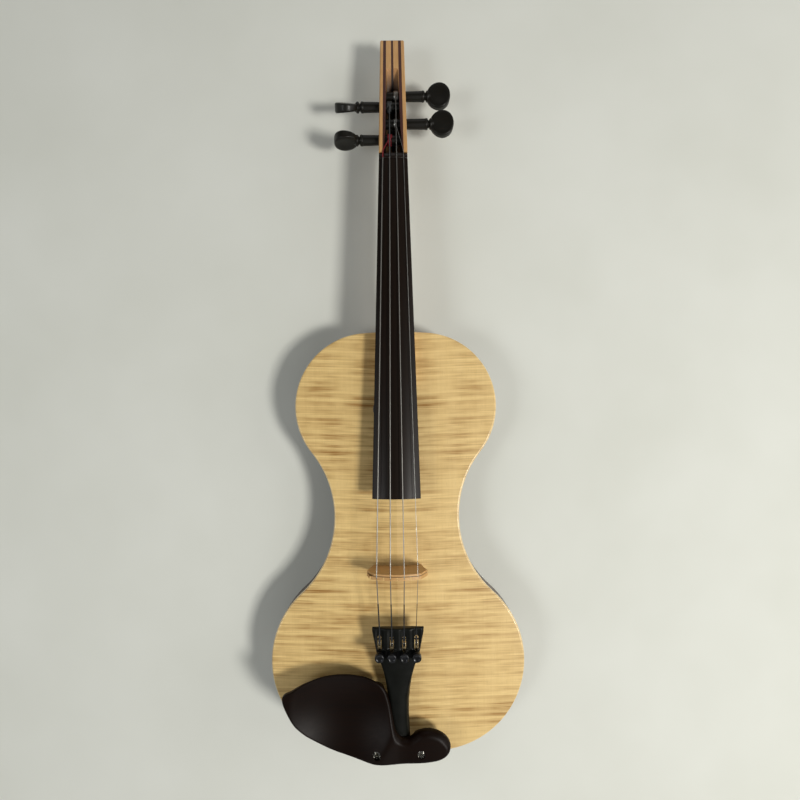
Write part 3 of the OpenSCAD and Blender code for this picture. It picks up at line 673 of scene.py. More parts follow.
# Bridge maple, planed and unvarnished: pale, matt, with short flecks.
BRIDGE_MAPLE = Wood(
    "bridge_maple_planed", "#cfa469", "#a87a42", 0.55, 0.1, 0.0, 0.2, grain=0.8, streak=16, pores=0.45,
    pore_colour="#7c5026", contrast=0.9, depth=0.03, across=1
)
# Pressed cork of the chin rest's pads.
CORK = Grainy("cork_pressed", "#a97b4c", "#6b4526", 0.85, 0.1)
# Carbon-filled plastic of the tailpiece, moulded: greenish black with a low gloss.
COMPOSITE = Plain(
    "tailpiece_composite_moulded", "#0b0c09", "#121310", 0.34, 0.14, 0.0, 0.2, grit=0.4, depth=0.008,
    ior=1.25
)
# Black plastic of the knob and cover, moulded with a fine matt texture.
BLACK_PLASTIC = Plain("black_plastic_moulded", "#111111", "#1b1a19", 0.45, 0.16, depth=0.015)
# Pickup film between the bridge plates: dark copper under lacquer.
PICKUP_FILM = Plain("pickup_film_lacquered", "#2a1a0e", "#3a2412", 0.4, 0.1)
# PVC jacket of the leads.
LEAD_JACKET = Plain("lead_jacket_pvc", "#141414", "#1e1e1e", 0.5, 0.1)
# Nylon cord of the tailpiece loop, cream and slightly glossy.
LOOP_CORD = Wound("tail_loop_nylon", "#d6ccaa", "#b9ad86", 0.45, 0.1, pitch=0.9, depth=0.08, ior=1.53)
# Bright steel of the cover's screws.
STEEL = Plain("steel_ground", "#b4b6b8", "#9ea0a2", 0.28, 0.16, metallic=1.0, mottle=4.0)
# Blackened steel of the tuner screws: black oxide with bare metal shining through on the knurl.
BLACK_STEEL = Plain(
    "steel_black_oxide", "#141414", "#26272a", 0.32, 0.2, metallic=0.6, mottle=3.0, depth=0.02
)
# Zinc-cased metal of the pot and jack.
CASE_METAL = Plain("die_cast_zinc", "#85888b", "#6f7275", 0.42, 0.16, metallic=1.0, mottle=5.0)
# Nickel plating of the forks, nuts, pin and bolts: bright with a warm cast.
NICKEL = Plain("nickel_plated", "#cfccc4", "#b7b3a9", 0.2, 0.14, metallic=1.0, mottle=4.0)
# Brass of the loop's nuts and the inserts.
BRASS = Plain("brass_turned", "#c49a44", "#a67c30", 0.28, 0.14, metallic=1.0, mottle=3.0)
# Tinned brass of the ball ends: greyed brass, worn bright where the fork holds it.
BALL_BRASS = Plain("brass_ball_tinned", "#a89a7a", "#8a7c5c", 0.32, 0.16, metallic=1.0, mottle=1.5)
# Strings: steel core under a flat alloy ribbon, and the plain tinned e string.
STRING_WOUND = Wound(
    "string_alloy_wound", "#a3a19c", "#7f7d78", 0.42, 0.1, metallic=1.0, pitch=0.6, depth=0.012
)
STRING_PLAIN = Plain("string_steel_tinned", "#b4b4b0", "#9c9c98", 0.34, 0.1, metallic=1.0, mottle=4.0)
# Silk wrapped round the ends of the strings.
SILK_RED = Wound("silk_wrap_red", "#8c1a24", "#5a0d14", 0.6, 0.1, pitch=0.6, depth=0.06)
SILK_GREY = Wound("silk_wrap_grey", "#4a4c4d", "#2c2e2f", 0.6, 0.1, pitch=0.6, depth=0.06)
SILK_BLACK = Wound("silk_wrap_black", "#1d1f23", "#0e1012", 0.6, 0.1, pitch=0.6, depth=0.06)
# Finish and slot of each string where it goes to its peg.
HEAD_ENDS = (
    (SILK_RED, "silk_red"), (SILK_GREY, "silk_grey"), (STRING_WOUND, "string_wound"),
    (STRING_PLAIN, "string_plain"),
)
# Matt backdrop paper, very pale grey.
PAPER = Plain("backdrop_paper", "#d9dad2", "#d3d4cb", 0.9, 0.08, grit=0.7, mottle=140.0, depth=0.02)


# ---------------------------------------------------------------------------
# Making of pieces
# ---------------------------------------------------------------------------
def settle(obj: Any) -> None:
    """Applies the object's modifiers to its mesh."""
    shown = obj.evaluated_get(bpy.context.evaluated_depsgraph_get())
    mesh = bpy.data.meshes.new_from_object(shown)
    obj.modifiers.clear()
    old, obj.data = obj.data, mesh
    bpy.data.meshes.remove(old)


def solid(name: str, shape: Shape) -> Any:
    """Mesh object of a shape, with doubled points merged and faces turned outwards.

    Args:
        name: Name of the object.
        shape: Points in millimetres.

    Returns:
        The object, at the origin.
    """
    mesh = bpy.data.meshes.new(name)
    mesh.from_pydata(
        (shape.points * MM).tolist(), [], [face for part in shape.blocks for face in part.tolist()]
    )
    work = bmesh.new()
    work.from_mesh(mesh)
    bmesh.ops.remove_doubles(work, verts=work.verts, dist=3e-6)
    bmesh.ops.dissolve_degenerate(work, edges=work.edges, dist=1e-7)
    bmesh.ops.recalc_face_normals(work, faces=work.faces)
    work.to_mesh(mesh)
    work.free()
    obj = bpy.data.objects.new(name, mesh)
    bpy.context.scene.collection.objects.link(obj)
    return obj


class Cut(Enum):
    """What a second solid does to the first."""

    AWAY = "DIFFERENCE"
    JOINED = "UNION"


@dataclass
class Tool:
    """A second solid, what it does to the first, and the finish of the faces that it leaves."""

    cut: Cut
    shape: Shape
    finish: Optional[Finish] = None


@dataclass
class Maker:
    """Makes the pieces of the instrument and keeps count of them."""

    made: list[str] = field(default_factory=list)

    def piece(
        self,
        name: str,
        shape: Shape,
        finish: Finish,
        body: str = ROOT,
        replaces: Sequence[str] = (),
        tools: Sequence[Tool] = (),
        bevel: float = 0.0,
        sharp: float = 38.0,
    ) -> Any:
        """Makes a piece, joins or cuts it with others, rounds its edges and dresses it.

        Args:
            name: Name of the piece.
            shape: Its shape, in millimetres.
            finish: Its material.
            body: The body that it moves with.
            replaces: CAD nodes that it stands for.
            tools: Solids to cut away or join, in order.
            bevel: Width of the rounded edges, in millimetres.
            sharp: Angle above which an edge stays sharp, in degrees.

        Returns:
            The piece.
        """
        obj = solid(name, shape)
        obj.data.materials.append(finish.material())
        for number, tool in enumerate(tools):
            other = solid(f"tool_{number}", tool.shape)
            other.data.materials.append((tool.finish or finish).material())
            step = obj.modifiers.new("cut", "BOOLEAN")
            step.operation, step.solver, step.object = tool.cut.value, "EXACT", other
            step.material_mode = "TRANSFER"
            settle(obj)
            bpy.data.meshes.remove(other.data)
        if bevel:
            edge = obj.modifiers.new("edge", "BEVEL")
            edge.width, edge.segments = bevel * MM, 3
            edge.limit_method, edge.angle_limit = "ANGLE", math.radians(32)
            settle(obj)
        mesh = obj.data
        mesh.name = name
        mesh.polygons.foreach_set("use_smooth", [True] * len(mesh.polygons))
        mesh.set_sharp_from_angle(angle=math.radians(sharp))
        if bevel or tools:
            even = obj.modifiers.new("normals", "WEIGHTED_NORMAL")
            even.keep_sharp = True
            settle(obj)
            obj.data.name = name
        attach(obj, body)
        if replaces:
            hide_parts(*replaces)
        self.made.append(name)
        LOG.info("%s: %d faces, rides on %s", name, len(obj.data.polygons), body)
        return obj

    def dress(self, finish: Finish, *nodes: str) -> None:
        """Gives CAD nodes that stay a better material."""
        for name in nodes:
            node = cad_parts[name]
            if not node.material_slots:
                node.data.materials.append(finish.material())
            for place in node.material_slots:
                place.material = finish.material()
            LOG.info("%s: kept, dressed in %s", name, finish.name)


# ---------------------------------------------------------------------------
# Shared levels of the instrument
# ---------------------------------------------------------------------------
@dataclass(frozen=True)
class Levels:
    """Stations along Y and heights that several sub-assemblies share."""

    y_bottom: float = -286.5
    y_edge: float = 57.5
    y_nut: float = 199.5
    y_board: float = 194.1
    y_board_end: float = -75.9
    y_tenon: float = 11.5
    y_head: float = 295.5
    y_bridge: float = -133.9
    y_tail: float = -174.9
    z_plate: float = 35.5
    z_top: float = 38.0
    z_bridge: float = 69.5
    board_r: float = 42.0
    board_edge: float = 4.8
    jack: tuple[float, float] = (-209.9, 19.0)
    string_r: tuple[float, ...] = (0.42, 0.4, 0.36, 0.2)
    peg_at: tuple[float, ...] = (14.6, 43.2, 52.2, 28.2)
    peg_side: tuple[int, ...] = (-1, -1, 1, 1)
    peg_r: float = 3.75
    tilt: float = math.radians(5)
    tail_front_z: float = 59.5
    nut_spread: float = 16.6
    bridge_spread: float = 31.6
    tail_spread: float = 28.8
    heel_half: float = 15.2
    nut_half: float = 11.5
    head_half: float = 9.7
    board_gain: float = 7.5
    board_length: float = 270.0
    under_level: float = 41.2
    under_rise: float = 0.0415
    cheek_level: float = 46.4
    cheek_fall: float = 0.104
    peg_depth: float = 9.5

    def under(self, y: Union[float, Array]) -> Any:
        """Level of the fingerboard's flat underside."""
        return self.under_level + (self.y_board - y) * self.under_rise

    def board_half(self, y: Union[float, Array]) -> Any:
        """Half width of the fingerboard."""
        return self.nut_half + self.board_gain * (self.y_board - y) / self.board_length

    def board_top(self, y: Any, x: Any = 0.0) -> Any:
        """Level of the playing surface."""
        edge = self.under(y) + self.board_edge
        return edge + sagitta(self.board_r, self.board_half(y)) - sagitta(self.board_r, x)

    def cheek(self, y: Union[float, Array]) -> Any:
        """Level of the head's upper face."""
        return self.cheek_level - self.cheek_fall * (y - self.y_nut)

    def spread(self, width: float, index: int) -> float:
        """Place of a string across a given spread."""
        return -width / 2 + width * index / 3

    def peg_axis(self, index: int) -> tuple[float, float]:
        """Y and Z of a peg's axis."""
        along = self.peg_at[index]
        return self.y_nut + along, self.cheek_level - self.cheek_fall * along - self.peg_depth

    def tail_place(self, points: Array) -> Array:
        """Turns points of the tailpiece's own frame to the instrument's: a tilt about X, then a move."""
        x, y, z = points.T
        c, s = math.cos(self.tilt), math.sin(self.tilt)
        return np.stack([x, self.y_tail + y * c - z * s, self.tail_front_z + y * s + z * c], 1)


LEVEL = Levels()
TAIL_ARCH_R = 60.0


def tail_arch(x: Union[float, Array]) -> Any:
    """Level of the tailpiece's top in its own frame."""
    return 1 - sagitta(TAIL_ARCH_R, x)


# ---------------------------------------------------------------------------
# Body
# ---------------------------------------------------------------------------
@dataclass
class Body:
    """Walnut body with a book-matched maple top, and what is let into it."""

    upper_w: float = 163.6
    lower_w: float = 205.6
    upper_r: float = 60.0
    lower_r: float = 74.0
    waist_r: float = 84.0
    back_r: float = 16.0
    rim_r: float = 1.5
    saddle_half: float = 17.0
    cover_at: tuple[float, float] = (-8.3, -5.5)
    cover_half: tuple[float, float] = (18.0, 20.0)
    jack_face: float = 99.2

    def half_outline(self, inset: float) -> Array:
        """Treble half of the outline: five arcs, each tangent to the next, moved inwards.

        Args:
            inset: Distance inwards.

        Returns:
            Points from the middle of the bottom to the middle of the top.
        """
        upper = np.array([self.upper_w / 2 - self.upper_r, LEVEL.y_edge - 60.8])
        lower = np.array([self.lower_w / 2 - self.lower_r, LEVEL.y_bottom + 76.6])
        near, far = self.upper_r + self.waist_r, self.lower_r + self.waist_r
        gap = np.linalg.norm(upper - lower)
        step = (near**2 - far**2 + gap**2) / (2 * gap)
        off = math.sqrt(near**2 - step**2)
        run = (lower - upper) / gap
        waist = upper + step * run + off * np.array([-run[1], run[0]])

        def end_radius(x: float, reach: float, r: float) -> float:
            """Radius of the end arc that is tangent to a flank and passes through the middle."""
            return (x * x + reach * reach - r * r) / (2 * (reach - r))

        top_r = end_radius(upper[0], LEVEL.y_edge - upper[1], self.upper_r)
        bottom_r = end_radius(lower[0], lower[1] - LEVEL.y_bottom, self.lower_r)
        top, bottom = np.array([0, LEVEL.y_edge - top_r]), np.array([0, LEVEL.y_bottom + bottom_r])

        def heading(v: Array) -> float:
            """Angle of a direction."""
            return math.atan2(v[1], v[0])

        a_bottom, a_lower = heading(lower - bottom), heading(waist - lower)
        a_upper, a_top = heading(waist - upper), heading(upper - top)
        arcs = (
            (bottom, bottom_r - inset, -math.pi / 2, a_bottom, 10),
            (lower, self.lower_r - inset, a_bottom, a_lower, 64),
            (waist, self.waist_r + inset, a_lower + math.pi, a_upper + math.pi, 40),
            (upper, self.upper_r - inset, a_upper, a_top, 56), (top, top_r - inset, a_top, math.pi / 2, 8),
        )
        runs = []
        for centre, radius, start, end, count in arcs:
            angle = start + (end - start) * np.arange(1 if runs else 0, count + 1) / count
            runs.append(centre + radius * np.stack([np.cos(angle), np.sin(angle)], 1))
        points = np.vstack(runs)
        points[[0, -1], 0] = 0
        return points

    def shell(self) -> Shape:
        """Body below the top: quarter round into the flat back, then straight sides.

        Ring k lies inset by r (1 - sin t) at the height r (1 - cos t). The flat ends are closed in
        rows of quads from flank to flank.
        """
        turn = np.linspace(0, math.pi / 2, 10)
        insets = np.append(self.back_r * (1 - np.sin(turn)), [0, 0])
        levels = np.append(
            self.back_r * (1 - np.cos(turn)), [(self.back_r + LEVEL.z_plate) / 2, LEVEL.z_plate]
        )
        rings = []
        for inset, z in zip(insets, levels):
            half = self.half_outline(inset)
            ring = np.vstack([half, half[-2:0:-1] * [-1, 1]])
            rings.append(np.column_stack([ring, np.full(len(ring), z)]))
        stack = np.stack(rings)
        count, size = stack.shape[:2]
        middle = size // 2
        i = np.arange(1, middle - 1)
        rows = np.stack([i, i + 1, size - i - 1, size - i], 1)
        ends = np.array([[0, 1, size - 1], [middle - 1, middle, middle + 1]])
        far = (count - 1) * size
        return Shape(
            stack.reshape(-1, 3),
            [grid_faces(count, size, True), rows[:, ::-1], ends[:, ::-1], rows + far, ends + far]
        )

    def rim(self, inset: float, z: float) -> Array:
        """Treble half of the outline at one level, as X, Y and Z."""
        half = self.half_outline(inset)
        return np.column_stack([half, np.full(len(half), z)])

    def plate(self, side: int) -> Shape:
        """One half of the top, with its upper rim rounded.

        Each station of the outline carries a closed section: underside, edge, quarter round, top and
        the joint at X = 0. The inner points lie on straight lines from the rim to the joint.

        Args:
            side: 1 for treble, -1 for bass.

        Returns:
            The plate.
        """
        turn = np.linspace(0, math.pi / 2, 7)
        insets = self.rim_r * (1 - np.cos(turn))
        heights = LEVEL.z_top - self.rim_r + self.rim_r * np.sin(turn)
        edge = [self.rim(inset, z) for inset, z in zip(insets, heights)]
        inner = edge[-1]
        share = np.array([0.25, 0.5, 0.75, 1.0])[:, None, None]
        across = inner[None] * [1, 1, 1] - share * inner[None] * [1, 0, 0]
        under = across[::-1].copy()
        under[..., 2] = LEVEL.z_plate
        low = self.rim(0, LEVEL.z_plate)[None]
        section = np.concatenate([low, np.stack(edge), across, under])
        rings = np.swapaxes(section, 0, 1) * [side, 1, 1]
        return loft(rings)

    def build(self, maker: Maker) -> None:
        """Makes the shell, the two plates and the fittings let into them."""
        neck = block((-LEVEL.heel_half, LEVEL.y_tenon, 8), (LEVEL.heel_half, LEVEL.y_edge + 2, 60))
        notch = block(
            (-self.saddle_half, LEVEL.y_bottom - 2, LEVEL.z_plate - 3),
            (self.saddle_half, LEVEL.y_bottom + 6, 60)
        )
        (cx, cy), (hx, hy) = self.cover_at, self.cover_half
        recess = block((cx - hx, cy - hy, -2), (cx + hx, cy + hy, 2.4))
        jack_y, jack_z = LEVEL.jack
        well = revolve([(11, 0), (11, 20)], 72).mapped(along_x(1, (self.jack_face, jack_y, jack_z)))
        bore = revolve([(7.1, -34), (7.1, 2)], 64).mapped(along_x(1, (self.jack_face, jack_y, jack_z)))
        hole = revolve([(3.96, -2), (3.96, 24.5)], 48).mapped(along_y(1, (0, LEVEL.y_bottom, jack_z)))
        maker.piece(
            "body_walnut", self.shell(), WALNUT, replaces=("body_shell",),
            tools=[Tool(Cut.AWAY, cut) for cut in (neck, notch, recess, well, bore, hole)]
        )
        bushing = revolve([(3.5, 30), (3.5, 45)], 48).mapped(moved((cx, cy, 0)))
        for side, name, finish in ((-1, "bass", MAPLE_BASS), (1, "treble", MAPLE_TREBLE)):
            maker.piece(
                f"top_maple_{name}", self.plate(side), finish, replaces=(f"top_plate_{name}",),
                tools=[Tool(Cut.AWAY, cut) for cut in (neck, notch, *([bushing] if side < 0 else []))]
            )
        maker.dress(BLACK_PLASTIC, "cavity_cover")
        maker.dress(STEEL, "cover_screws")
        self.saddle(maker)
        self.button(maker)

    def saddle(self, maker: Maker) -> None:
        """Ebony saddle: a ridge whose crest runs across the body's edge."""
        y, z = LEVEL.y_bottom, LEVEL.z_top
        profile = curve(
            [
                (y + 0.25, z - 5.5), (y + 0.2, z), (y + 0.6, z + 2.2), (y + 1.8, z + 3.3),
                (y + 3.6, z + 3.3), (y + 5.2, z + 2.0), (y + 6, z + 0.2), (y + 6, z - 5.5)
            ],
            5
        )
        maker.piece(
            "saddle_ebony", extrude(profile, -self.saddle_half, self.saddle_half, 0), EBONY,
            replaces=("saddle",), bevel=0.5
        )

    def button(self, maker: Maker) -> None:
        """Turned end button: a tapered shank, a flange, a waist for the loop and a domed head."""
        head = curve(
            [
                (6.0, 1.2), (4.6, 1.9), (4.4, 3.0), (4.7, 4.2), (6.3, 5.1), (7.0, 6.3), (6.5, 7.7),
                (4.4, 8.7), (0.01, 9.0)
            ],
            6
        )
        profile = np.vstack([[(0, -24), (3.5, -24), (3.6, -23.6), (3.9, 0.12), (5.8, 0.2), (6.0, 0.5)], head])
        place = along_y(-1, (0, LEVEL.y_bottom, LEVEL.jack[1]))
        maker.piece(
            "end_button_ebony", revolve(profile, 72).mapped(place), EBONY, replaces=("end_button",)
        )


# ---------------------------------------------------------------------------
# Neck, fingerboard and nut
# ---------------------------------------------------------------------------
@dataclass
class Neck:
    """Seven glued strips carved into the neck and the straight head, the fingerboard and the nut."""

    shares: tuple[float, ...] = (0.09, 0.5, 0.74, 1.0)
    chamfer: float = 0.7
    samples: int = 9

    def half(self, y: Array) -> Array:
        """Half width of the neck, straight between its stations."""
        widths = [LEVEL.heel_half, LEVEL.heel_half, LEVEL.nut_half, LEVEL.head_half]
        return np.interp(y, [LEVEL.y_tenon, LEVEL.y_edge, LEVEL.y_nut, LEVEL.y_head], widths)

    def stations(self) -> tuple[Array, Array, Array, Array, Array]:
        """Stations along Y with the underside, squareness, reference level and top of each section."""
        e, n, h = LEVEL.y_edge, LEVEL.y_nut, LEVEL.y_head
        rows = [
            (e, 8, 8), (e + 1.5, 9, 5), (e + 7, 17, 3.2), (e + 14, 26, 2.6), (e + 22, 30.4, 2.3),
            (e + 32, 31.6, 2.2), (e + 75, 30, 2.2), (n - 10, 28.6, 2.3), (n + 3, 27, 3), (n + 12, 23.5, 5),
            (n + 24, 21.5, 7), (n + 60, 20.5, 7), (h, 21.5, 7)
        ]
        low = [(y, z) for y, z, _ in rows]
        square = [(y, k) for y, _, k in rows]
        shaft = np.concatenate([np.linspace(e, e + 36, 26), np.linspace(e + 40, n, 30)])
        head = np.concatenate([np.linspace(n, n + 26, 22), np.linspace(n + 29, h - 0.8, 24), [h]])
        y = np.concatenate([[LEVEL.y_tenon, e - 0.01], shaft, head])
        bottom = np.concatenate([[8, 8], fair(shaft, low), fair(head, low)])
        shape = np.concatenate([[40, 40], fair(shaft, square), fair(head, square)])
        in_head = np.concatenate([np.zeros(2 + len(shaft)), np.ones(len(head))]) > 0
        reference = np.where(in_head, LEVEL.cheek(y), LEVEL.under(y) + 4)
        top = np.where(in_head, LEVEL.cheek(y), LEVEL.under(y))
        return y, bottom, shape, reference, top

    def strip(self, inner: float, outer: float, side: int) -> Shape:
        """Strip of the carved neck between two shares of its half width.

        The section is a superellipse: x = w f and z = ref - d (1 - |f|^n)^(1/n). The outermost strip
        is sampled by angle, f = cos(a)^(2/n), so that its curved flank is even.

        Args:
            inner: Share where the strip starts; negative for the middle strip.
            outer: Share where it ends.
            side: 1 for treble, -1 for bass.

        Returns:
            The strip.
        """
        y, bottom, n, ref, top = self.stations()
        half, depth = self.half(y), ref - bottom
        t = np.linspace(0, 1, self.samples if outer < 1 else 2 * self.samples)[None, :]
        n, depth, ref, top, half = (v[:, None] for v in (n, depth, ref, top, half))
        if outer < 1:
            f = np.repeat(inner + (outer - inner) * t, len(y), 0)
            z = ref - depth * (1 - np.abs(f) ** n) ** (1 / n)
        else:
            start = np.arccos(inner ** (n / 2))
            stop = np.arcsin(np.clip((ref - top) / depth, 0, 1) ** (n / 2))
            a = start + (stop - start) * t
            f = np.cos(a) ** (2 / n)
            z = np.minimum(ref - depth * np.sin(a) ** (2 / n), top)
        x = half * f
        cut = 0.0
        if outer >= 1:
            cut = np.where(ref == top, self.chamfer, 0.05)
            z[:, -1:] = np.minimum(z[:, -1:], top - cut)
        x = np.hstack([x, x[:, -1:] - cut, x[:, :1]])
        z = np.hstack([z, top, top])
        end = y >= LEVEL.y_head - 0.01
        z[end, :] = np.clip(z[end, :], bottom[end][:, None] + self.chamfer, top[end] - self.chamfer)
        x[end, :] = np.clip(x[end, :], None, half[end] - self.chamfer)
        rings = np.stack([side * x, np.repeat(y[:, None], x.shape[1], 1), z], -1)
        return loft(rings)

    def slot(self) -> Shape:
        """Room between the cheeks: its walls close towards the head and its floor ramps up to the face."""
        at = np.array([-0.3, 3, 6, 8, 14, 20, 24, 40, 54.5, 58, 66, 72.8])
        wide = np.interp(at, [-0.3, 6, 20, 75], [8.4, 7.4, 6.1, 4.6])
        floor = np.interp(at, [-0.3, 8, 24, 54.5, 72.8], [33, 30, 27, 26, 40])
        shape = np.array(
            [
                (-1, 60, 0), (-1, 0, 1.6), (-0.86, 0, 0.4), (-0.6, 0, 0), (0.6, 0, 0), (0.86, 0, 0.4),
                (1, 0, 1.6), (1, 60, 0)
            ]
        )
        x = wide[:, None] * shape[None, :, 0]
        z = np.where(shape[None, :, 1] > 0, 60.0, floor[:, None] + shape[None, :, 2])
        y = np.repeat(LEVEL.y_nut + at[:, None], len(shape), 1)
        return loft(np.stack([x, y, z], -1))

    def bore(self, index: int) -> Shape:
        """Tapered bore of one peg."""
        y, z = LEVEL.peg_axis(index)
        r = LEVEL.peg_r + 0.05
        return revolve([(r - 0.4, -24), (r + 0.4, 24)], 48).mapped(along_x(LEVEL.peg_side[index], (0, y, z)))

    def build(self, maker: Maker) -> None:
        """Makes the strips, the fingerboard and the nut."""
        s = self.shares
        bores = [Tool(Cut.AWAY, self.bore(i)) for i in range(4)]
        strips = [("neck_dark_centre", -s[0], s[0], 1, NECK_DARK, "neck_dark")]
        for side, word in ((-1, "bass"), (1, "treble")):
            strips.append((f"neck_maple_{word}_inner", s[0], s[1], side, NECK_MAPLE, "neck_maple"))
            strips.append((f"neck_dark_{word}", s[1], s[2], side, NECK_DARK, "neck_dark"))
            strips.append((f"neck_maple_{word}_outer", s[2], s[3], side, NECK_MAPLE, "neck_maple"))
        for node, inner, outer, side, finish, slot in strips:
            # The peg box's cut faces take these finishes, which paint shade down into the slot.
            stained = SLOT_MAPLE if finish is NECK_MAPLE else SLOT_DARK
            maker.piece(
                node.replace("neck_", "strip_"), self.strip(inner, outer, side), finish,
                replaces=(node,), tools=[Tool(Cut.AWAY, self.slot(), stained), *bores]
            )
        self.fingerboard(maker)
        self.nut(maker)

    def fingerboard(self, maker: Maker) -> None:
        """Ebony fingerboard: an arc of one radius across, over a flat underside that widens to its end."""
        y = np.linspace(LEVEL.y_board_end, LEVEL.y_board, 60)[:, None]
        share = np.sin(np.linspace(-1, 1, 41) * math.pi / 2)[None, :]
        half = LEVEL.board_half(y)
        x = half * share
        top = LEVEL.board_top(y, x)
        rise = LEVEL.under(y)
        x = np.hstack([x, half, half * 0.5, -half * 0.5, -half])
        z = np.hstack([top, rise, rise, rise, rise])
        rings = np.stack([x, np.repeat(y, x.shape[1], 1), z], -1)
        maker.piece("fingerboard_ebony", loft(rings), EBONY, replaces=("fingerboard",), bevel=0.6)

    def nut(self, maker: Maker) -> None:
        """Ebony nut: it follows the board's arc and falls away to the head."""
        x = np.linspace(-11.4, 11.4, 47)[:, None] * np.ones(15)
        y = np.ones((47, 1)) * np.linspace(LEVEL.y_board + 0.02, LEVEL.y_nut - 0.02, 15)[None, :]
        back = np.clip((y - LEVEL.y_board - 1.2) / 4.2, 0, 1)
        top = LEVEL.board_top(LEVEL.y_board, x) + 0.9 - 2.4 * back**2 - rounding(y - LEVEL.y_board, 0.6)
        for i in range(4):
            groove = LEVEL.spread(LEVEL.nut_spread, i)
            top = top - 0.5 * np.exp(-(((x - groove) / 0.55) ** 2))
        maker.piece(
            "nut_ebony", slab(np.dstack([x, y]), top, LEVEL.under(y)), EBONY, replaces=("nut",),
            bevel=0.35
        )


# ---------------------------------------------------------------------------
# Pegs
# ---------------------------------------------------------------------------
@dataclass
class Pegs:
    """Four ebony pegs, each with its turns of string."""

    shaft_out: tuple[float, ...] = (13.2, 13.2, 13.2, 15.2)
    turns: tuple[float, ...] = (95.0, 60.0, 0.0, 0.0)
    width: tuple[float, ...] = (4.2, 4.2, 4.0, 3.0)
    thumb_half: float = 10.5

    def collar(self, index: int) -> tuple[float, float]:
        """Half width of the head at a peg, and the distance of the peg's collar from the middle."""
        y, _ = LEVEL.peg_axis(index)
        half = float(np.interp(y, [LEVEL.y_nut, LEVEL.y_head], [LEVEL.nut_half, LEVEL.head_half]))
        return half, half + self.shaft_out[index]

    def shank(self, index: int) -> Shape:
        """Turned shank with a collar, a bead and a small ring before the thumb piece."""
        half, collar = self.collar(index)
        foot = 0.2 - half
        taper = [(LEVEL.peg_r + z / 60, z) for z in np.linspace(foot + 0.5, collar, 12)]
        turned = curve(
            [(4.1, 0.0), (4.42, 0.6), (4.45, 1.4), (4.1, 2.2), (3.1, 2.7), (2.95, 3.1), (3.2, 3.5),
                (4.25, 4.1), (4.42, 4.9),
             (4.2, 5.8), (3.3, 6.6), (2.9, 7.6), (2.6, 9.5)], 5,
        ) + [0, collar]
        line = np.vstack(
            [[(0, foot), (LEVEL.peg_r + foot / 60 - 0.4, foot)], taper, turned, [(0, collar + 9.6)]]
        )
        return revolve(line, 64)

    def thumb(self, index: int) -> Shape:
        """Thumb piece: a round disc in the plane of the axis, hollowed on both faces.

        With v from face to face and a round the rim, its radius share is sin(v)^(1/2) and its
        thickness share cos(v)^0.35, and the thickness grows from the hollow middle to the tip.
        """
        _, collar = self.collar(index)
        v = np.linspace(0, math.pi, 41)[:, None]
        a = np.linspace(0, 2 * math.pi, 72, endpoint=False)[None, :]
        share = np.sin(v) ** 0.5
        side = np.sign(np.cos(v)) * np.abs(np.cos(v)) ** 0.35
        along = collar + 13.8 + 9.8 * share * np.cos(a)
        across = self.thumb_half * share * np.sin(a) * (1 + 0.05 * np.cos(a))
        thick = 2.9 + 2.1 * share**2 * (0.5 + 0.5 * np.cos(a))
        return loft(np.stack([side * thick * np.ones_like(a), across, along], -1))

    def build(self, maker: Maker) -> None:
        """Makes the pegs and their windings."""
        for i, string in enumerate(STRINGS):
            y, z = LEVEL.peg_axis(i)
            turn = math.radians(self.turns[i])
            spin = np.array(
                [[math.cos(turn), -math.sin(turn), 0], [math.sin(turn), math.cos(turn), 0], [0, 0, 1]]
            )
            lay = along_x(LEVEL.peg_side[i], (0, y, z))
            place = lambda p, lay=lay, spin=spin: lay(p @ spin.T)
            maker.piece(
                f"peg_{string}_ebony", self.shank(i).mapped(place), PEG_EBONY,
                body=f"peg_{string}", replaces=(f"peg_{string}",),
                tools=[Tool(Cut.JOINED, self.thumb(i).mapped(place))], sharp=50
            )
            r = LEVEL.string_r[i] * 1.1
            count = self.width[i] / (2.1 * r)
            t = np.linspace(0, 1, int(count * 32))
            angle = 2 * math.pi * count * t
            reach = LEVEL.peg_r + r + 0.02
            coil = np.stack(
                [reach * np.cos(angle), reach * np.sin(angle), 0.6 + r + (self.width[i] - 2 * r) * t], 1
            )
            finish, slot = HEAD_ENDS[i] if i < 2 else (STRING_PLAIN, "string_plain")
            maker.piece(
                f"turns_{string}", sweep(coil, r, 10, (0, 0, 1)).mapped(lay), finish,
                body=f"peg_{string}", replaces=(f"winding_{string}",)
            )


